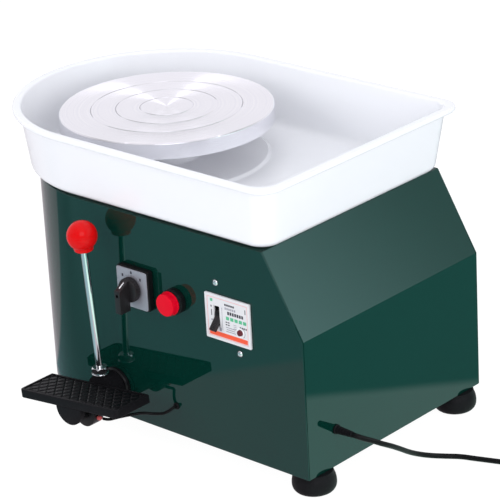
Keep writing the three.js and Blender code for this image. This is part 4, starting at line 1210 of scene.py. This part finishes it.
def make_lever():
    """Bright rod screwed into the boss, locked by a hexagon nut, with a red ball knob."""
    across_corners = 9.7
    nut = make_piece(
        "lever_lock_nut", prism(circle(across_corners, steps=6), 1.6, 8.95), CHROME, LEVER_LEAN,
        body="speed_pedal", stands_for=["lever_nut"],
    )
    flare = across_corners + 3
    for sign, low, high in ((1, 1.6, 3.6), (-1, 8.95, 6.95)):
        turned_off = lathe([
            (across_corners * 0.84, low - sign), (across_corners * 0.84, low),
            (across_corners + 0.2, high), (flare, high), (flare, low - sign),
        ], 60, ring=True)
        carve(nut, turned_off, place=LEVER_LEAN)
    carve(nut, prism(circle(4.2, steps=40), -2, 12), place=LEVER_LEAN)
    bevel(nut, 0.3, 2)
    washer = rounded([(4.2, 0.35), (9.9, 0.35, 0.3), (9.9, 1.55, 0.3), (4.2, 1.55)], 3)
    make_piece("lever_washer", lathe(washer, 56, ring=True), CHROME, LEVER_LEAN, body="speed_pedal")
    rod = rounded([(0, 0.4), (3.95, 0.4, 0.2), (3.95, 10.4, 0.1), (3.95, 163, 0.6), (0, 163)], 3)
    make_piece(
        "lever_bar", lathe(rod, 56), CHROME, LEVER_LEAN, body="speed_pedal", stands_for=["lever_rod"],
    )
    ball, bottom, steps = 17.45, 155.0, 44
    centre = bottom + ball
    seam, seam_angle, seam_half = 0.35, 0.12, 0.022
    lowest = -math.pi / 4.6
    arc = []
    for i in range(steps + 1):
        angle = lowest + (math.pi / 2 - lowest) * i / steps
        radius = ball - (seam if abs(angle - seam_angle) < seam_half else 0)
        arc.append((radius * math.cos(angle), centre + radius * math.sin(angle)))
    arc[-1] = (0, centre + ball)
    profile = [
        (ROD_BORE, bottom), (10.4, bottom), (10.9, bottom + 0.5), (11.6, bottom + 4.4), (12.1, bottom + 5.2),
        *arc, (0, bottom + 10), (ROD_BORE, bottom + 10),
    ]
    make_piece(
        "lever_ball", lathe(profile, 96, ring=True), RED, LEVER_LEAN, body="speed_pedal",
        stands_for=["lever_knob"],
    )


def make_pivot_parts():
    low, high = measured("pedal_bracket")
    depth = high.y - low.y
    place = shift(PIVOT.x, high.y, PIVOT.y) @ TURN["front"]
    profile = rounded([
        (PIVOT_BORE, 0), (21.9, 0, 0.4), (21.9, depth - 1.6, 0.8), (20, depth, 0.8), (PIVOT_BORE, depth),
    ], 4)
    make_piece(
        "pedal_mounting_flange", lathe(profile, 72, ring=True), BLACK, place, stands_for=["pedal_bracket"],
    )
    low, high = measured("speed_sensor")
    centre = Vector((PIVOT.x + 9, PIVOT.y - 9.5))
    radius = centre.y - low.z
    top = high.z - centre.y
    half_angle = math.asin(top / radius)
    arc = [
        Vector((centre.x + radius * math.cos(a), centre.y + radius * math.sin(a)))
        for a in (math.pi - half_angle + (math.pi + 2 * half_angle) * i / 64 for i in range(65))
    ]
    drum = make_piece("speed_sensor_drum", upright(arc, low.y, high.y), BLACK, stands_for=["speed_sensor"])
    bevel(drum, 0.8, 3)
    low, high = measured("sensor_cap")
    radius, length = (high.z - low.z) / 2, high.x - low.x
    place = shift(low.x, (low.y + high.y) / 2, (low.z + high.z) / 2) @ TURN["right"]
    cap = rounded([(0, 0), (radius, 0, 0.2), (radius, length, 0.9), (0, length)], 5)
    make_piece("sensor_end_cap", lathe(cap, 32), CAP_RED, place, stands_for=["sensor_cap"])


PEDAL_CABLE = [
    (68, -203.5, 46.5), (76, -202.5, 47.6), (86, -197.5, 51), (96, -188, 53.2), (106, -177.5, 54),
    (116, -169.5, 53), (125, -164.5, 54), (131, -161, 57.5), (134.4, -158, 60.8), (135, -155, 61.5),
    (135, -151, 61.5), (135, -146, 61.5),
]


def make_pedal_cable():
    """Thin cable from the sensor to its grommet in the panel, held at both ends."""
    cable = cord_curve("pedal_sensor_cable", PEDAL_CABLE, 1.75, LEAD_RUBBER)
    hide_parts("pedal_cable")
    place = shift(CABLE_HOLE.x, FRONT_Y, CABLE_HOLE.y) @ TURN["front"]
    profile = rounded([(2.4, -1), (3.9, -1, 0.2), (3.9, 1.4, 0.5), (2.9, 2.35, 0.4), (2.4, 2.35)], 4)
    make_piece(
        "pedal_cable_bush", lathe(profile, 40, ring=True), RUBBER, place,
        stands_for=["pedal_cable_grommet"],
    )


make_pedal_plate()
make_tread()
make_lever()
make_pivot_parts()
make_pedal_cable()


# ------------------------------------------------------------------ parts kept from the model
KEPT = {
    STEEL: ["pedal_shaft", "spindle", "drive_pin", "motor_pulley", "motor_shaft", "motor_bracket",
            *[f"bearing_bolt_{i}" for i in range(1, 5)]],
    CHROME: ["upper_bearing", "lower_bearing"],
    IRON: ["bearing_housing", "driven_pulley"],
    MOTOR: ["motor_housing", "base_plate"],
    SILVER: ["motor_end_cap"],
    GREY: ["controller_box"],
    BLACK: ["switch_body", "lamp_body", "breaker_body"],
    RUBBER: ["drive_belt"],
    GREEN: ["top_deck"],
}


def finish_kept_parts():
    for material, names in KEPT.items():
        for name in names:
            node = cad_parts[name]
            node.data.materials.clear()
            node.data.materials.append(material)
            edges = node.modifiers.new("edges", "BEVEL")
            edges.width = 0.35 * MM
            edges.segments = 2
            edges.limit_method = "ANGLE"
            edges.angle_limit = math.radians(40)


finish_kept_parts()


# ------------------------------------------------------------------ stage and light
# Dark cards lie on the studio floor and are seen only in glossy surfaces. Each edge is a point on
# the floor and the direction in which the floor turns pale, in millimetres from the wheel's axis.
FRONT_CARD_EDGE = ((-16, -286), (0.818, 0.575))
END_CARD_EDGE = ((495, 56), (-0.742, -0.670))
LEFT_CARD_EDGE = ((-576, -235), (-0.371, 0.929))
LEFT_STRIP_EDGE = ((-150, 0), (-1.0, 0.0))
CARD_SOFTNESS = 14.0
CARD_JOINT_EDGE = ((330, 0), (1.0, 0.0))
LEFT_SHADE_EDGE = ((-335, -380), (-0.5, 0.86))
LEFT_SHADE_SOFTNESS = 110.0
FRONT_CARD_COLOUR = (0.36, 0.54, 0.58)
LEFT_CARD_COLOUR = (0.19, 0.284, 0.315)
END_CARD_COLOUR = (0.174, 0.494, 0.437)
FLOOR_COLOUR = (0.62, 0.57, 0.61)
END_FLOOR_COLOUR = (0.85, 1.15, 1.04)


def beyond(graph, position, edge, softness=CARD_SOFTNESS):
    """0 on the card side of an edge, 1 on the pale side, with a soft step between."""
    (x, y), direction = edge
    offset = graph.vector("SUBTRACT", position, PLACE @ Vector((x, y, 0)))
    along = graph.vector("DOT_PRODUCT", offset, (*direction, 0))
    return graph.ramp(along, -softness * MM, softness * MM)


FLOOR_HALF = 6.0
FLOOR_GLOW = 1.1
FLOOR_GLOW_SHARE = 0.88      # the rest of what the camera sees of the floor is lit


def make_stage():
    """A pale floor; glossy surfaces see the cards that lie on it instead."""
    floor = new_object("floor", bpy.data.meshes.new("floor"))
    low, high = -FLOOR_HALF, FLOOR_HALF
    corners = [(low, low, 0), (high, low, 0), (high, high, 0), (low, high, 0)]
    floor.data.from_pydata(corners, [], [(0, 1, 2, 3)])
    floor.location.z = -0.0002
    graph = principled("pale_floor", (0.93, 0.93, 0.93), 0.9, Specular_IOR_Level=0.0)
    ray = graph.add("LightPath").outputs
    position = graph.add("TexCoord").outputs["Object"]
    edges = (FRONT_CARD_EDGE, END_CARD_EDGE, LEFT_CARD_EDGE, LEFT_STRIP_EDGE, CARD_JOINT_EDGE)
    front, end, left, strip, joint = (beyond(graph, position, edge) for edge in edges)
    pale = graph.math("MAXIMUM", graph.math("MINIMUM", front, end), graph.math("MINIMUM", left, strip))
    shade_side = beyond(graph, position, LEFT_SHADE_EDGE, LEFT_SHADE_SOFTNESS)
    front_card = graph.mix(shade_side, FRONT_CARD_COLOUR, LEFT_CARD_COLOUR)
    card = graph.mix(joint, front_card, END_CARD_COLOUR)
    bare_floor = graph.mix(joint, FLOOR_COLOUR, END_FLOOR_COLOUR)
    mirrored = graph.add("Emission", Color=graph.mix(pale, card, bare_floor))
    seen = graph.mix_shaders(ray["Is Glossy Ray"], graph.shader, mirrored)
    glow = graph.add("Emission", Strength=FLOOR_GLOW)
    glow_share = graph.math("MULTIPLY", ray["Is Camera Ray"], FLOOR_GLOW_SHARE)
    blend = graph.mix_shaders(glow_share, seen, glow)
    graph.feed(graph.nodes["Material Output"], Surface=blend.outputs["Shader"])
    floor.data.materials.append(graph.owner)


BACK_WALL = Vector((-0.7, 0.65, 0.3)).normalized()
ROOM_LIGHT = 0.8
BACKDROP_LIGHT = 1.1
MIRRORED_VIEW = Vector((-0.664, 0.671, 0.329))     # the view of the wheel head, mirrored in its top
STRIP_LIGHTS = [(-0.954, 0.301), (-0.365, 0.931)]  # bearing of each bright streak on the wheel head
STRIP_HALF_WIDTH = 0.01
STRIP_LOWEST = 0.4
STRIP_STRENGTH = 1.2
SECTOR_STRENGTH = 0.03
FRONT_BOX = Vector((0.6, -0.58, 0.55)).normalized()
FRONT_BOX_STRENGTH = 3.2


def make_world():
    """A pale room for soft light; in reflections its front is dark and its back and ceiling are bright.

    Two strip lights stand behind the wheel, with a brighter wall between them, and a soft box in front.
    """
    world = bpy.data.worlds.new("studio")
    bpy.context.scene.world = world
    graph = Graph(world)
    room = graph.feed(graph.nodes["Background"], Color=(0.93, 0.95, 1.0), Strength=ROOM_LIGHT)
    backdrop = graph.add("Background", Color=(1, 1, 1), Strength=BACKDROP_LIGHT)
    ray = graph.add("LightPath").outputs
    direction = graph.add("TexCoord").outputs["Generated"]
    height = graph.add("SeparateXYZ", Vector=direction).outputs["Z"]
    wall = graph.ramp(graph.vector("DOT_PRODUCT", direction, BACK_WALL), -0.2, 0.75, 0.12, 0.93)
    ceiling = graph.ramp(height, 0.66, 0.82, 0.0, 0.92)
    in_box = graph.vector("DOT_PRODUCT", direction, FRONT_BOX)
    front_box = graph.ramp(in_box, 0.94, 0.97, 0.0, FRONT_BOX_STRENGTH)
    high_enough = graph.ramp(height, STRIP_LOWEST - 0.05, STRIP_LOWEST + 0.05)
    strips, sides = [], []
    for turn, (x, y) in zip((1, -1), STRIP_LIGHTS):
        across = Vector((-y, x, 0)).normalized()
        along = graph.vector("DOT_PRODUCT", direction, across)
        aside = graph.math("SUBTRACT", along, across.dot(MIRRORED_VIEW))
        distance = graph.math("ABSOLUTE", aside)
        strips.append(graph.ramp(distance, STRIP_HALF_WIDTH, 0.0, 0.0, STRIP_STRENGTH))
        sides.append(graph.ramp(graph.math("MULTIPLY", aside, turn), 0.0, 0.01))
    sector = graph.math("MULTIPLY", graph.math("MULTIPLY", *sides), SECTOR_STRENGTH)
    streaks = graph.math("MAXIMUM", graph.math("MAXIMUM", *strips), sector)
    streaks = graph.math("MULTIPLY", streaks, high_enough)
    room_seen = graph.math("MAXIMUM", graph.math("MAXIMUM", wall, ceiling), front_box)
    strength = graph.math("ADD", room_seen, streaks)
    mirrored = graph.add("Background", Color=(0.96, 0.95, 1.0), Strength=strength)
    seen = graph.mix_shaders(ray["Is Glossy Ray"], room, mirrored)
    blend = graph.mix_shaders(ray["Is Camera Ray"], seen, backdrop)
    graph.feed(graph.nodes["World Output"], Surface=blend.outputs["Shader"])


def make_light(name, place, target, size, power):
    """A rectangular soft box that reflections don't show; place and target in millimetres, size in metres."""
    light = bpy.data.lights.new(name, "AREA")
    light.shape = "RECTANGLE"
    light.size, light.size_y = size
    light.energy = power
    lamp = new_object(name, light)
    lamp.location = PLACE @ Vector(place)
    aim = PLACE @ Vector(target) - lamp.location
    lamp.rotation_mode = "QUATERNION"
    lamp.rotation_quaternion = aim.to_track_quat("-Z", "Y")
    lamp.visible_glossy = False


SLOPE_MIRRORED_VIEW = Vector((0.63, 0.70, 0.33)).normalized()
SCREEN_DISTANCE = 700.0
SCREEN_COLOUR = (0.87, 1.05, 1.02)
SCREEN_BRIGHT = 2.45
SCREEN_DIM = 0.77


def make_screen():
    """A tall screen beside the cabinet, seen only in glossy surfaces: bright near its front edge."""
    middle = Vector((305, 0, 232)) + SLOPE_MIRRORED_VIEW * SCREEN_DISTANCE
    across = SLOPE_MIRRORED_VIEW.cross(Vector((0, 0, 1))).normalized()
    rise = across.cross(SLOPE_MIRRORED_VIEW).normalized()
    reach = ((-420, -260), (900, -260), (900, 420), (-260, 420))
    corners = [PLACE @ (middle + across * x + rise * z) for x, z in reach]
    screen = new_object("screen", bpy.data.meshes.new("screen"))
    screen.data.from_pydata(corners, [], [(0, 1, 2, 3)])
    graph = Graph(bpy.data.materials.new("screen_glow"))
    graph.nodes.clear()
    position = graph.add("TexCoord").outputs["Object"]
    offset = graph.vector("SUBTRACT", position, PLACE @ middle)
    along = graph.vector("DOT_PRODUCT", offset, across)
    strength = graph.ramp(along, -0.15, 0.24, SCREEN_DIM, SCREEN_BRIGHT)
    glow = graph.add("Emission", Color=SCREEN_COLOUR, Strength=strength)
    graph.add("OutputMaterial", Surface=glow.outputs["Emission"])
    screen.data.materials.append(graph.owner)
    for ray in ("camera", "diffuse", "shadow", "transmission"):
        setattr(screen, f"visible_{ray}", False)


make_stage()
make_world()
make_screen()
make_light("overhead", (60, 100, 1900), (60, 0, 250), (1.2, 1.2), 6)
make_light("front_left", (-900, -1900, 1000), (50, 0, 180), (1.6, 1.4), 14)
make_light("front_right", (2100, -700, 1000), (50, 0, 180), (1.6, 1.4), 19)
bpy.context.scene.view_settings.view_transform = "Standard"
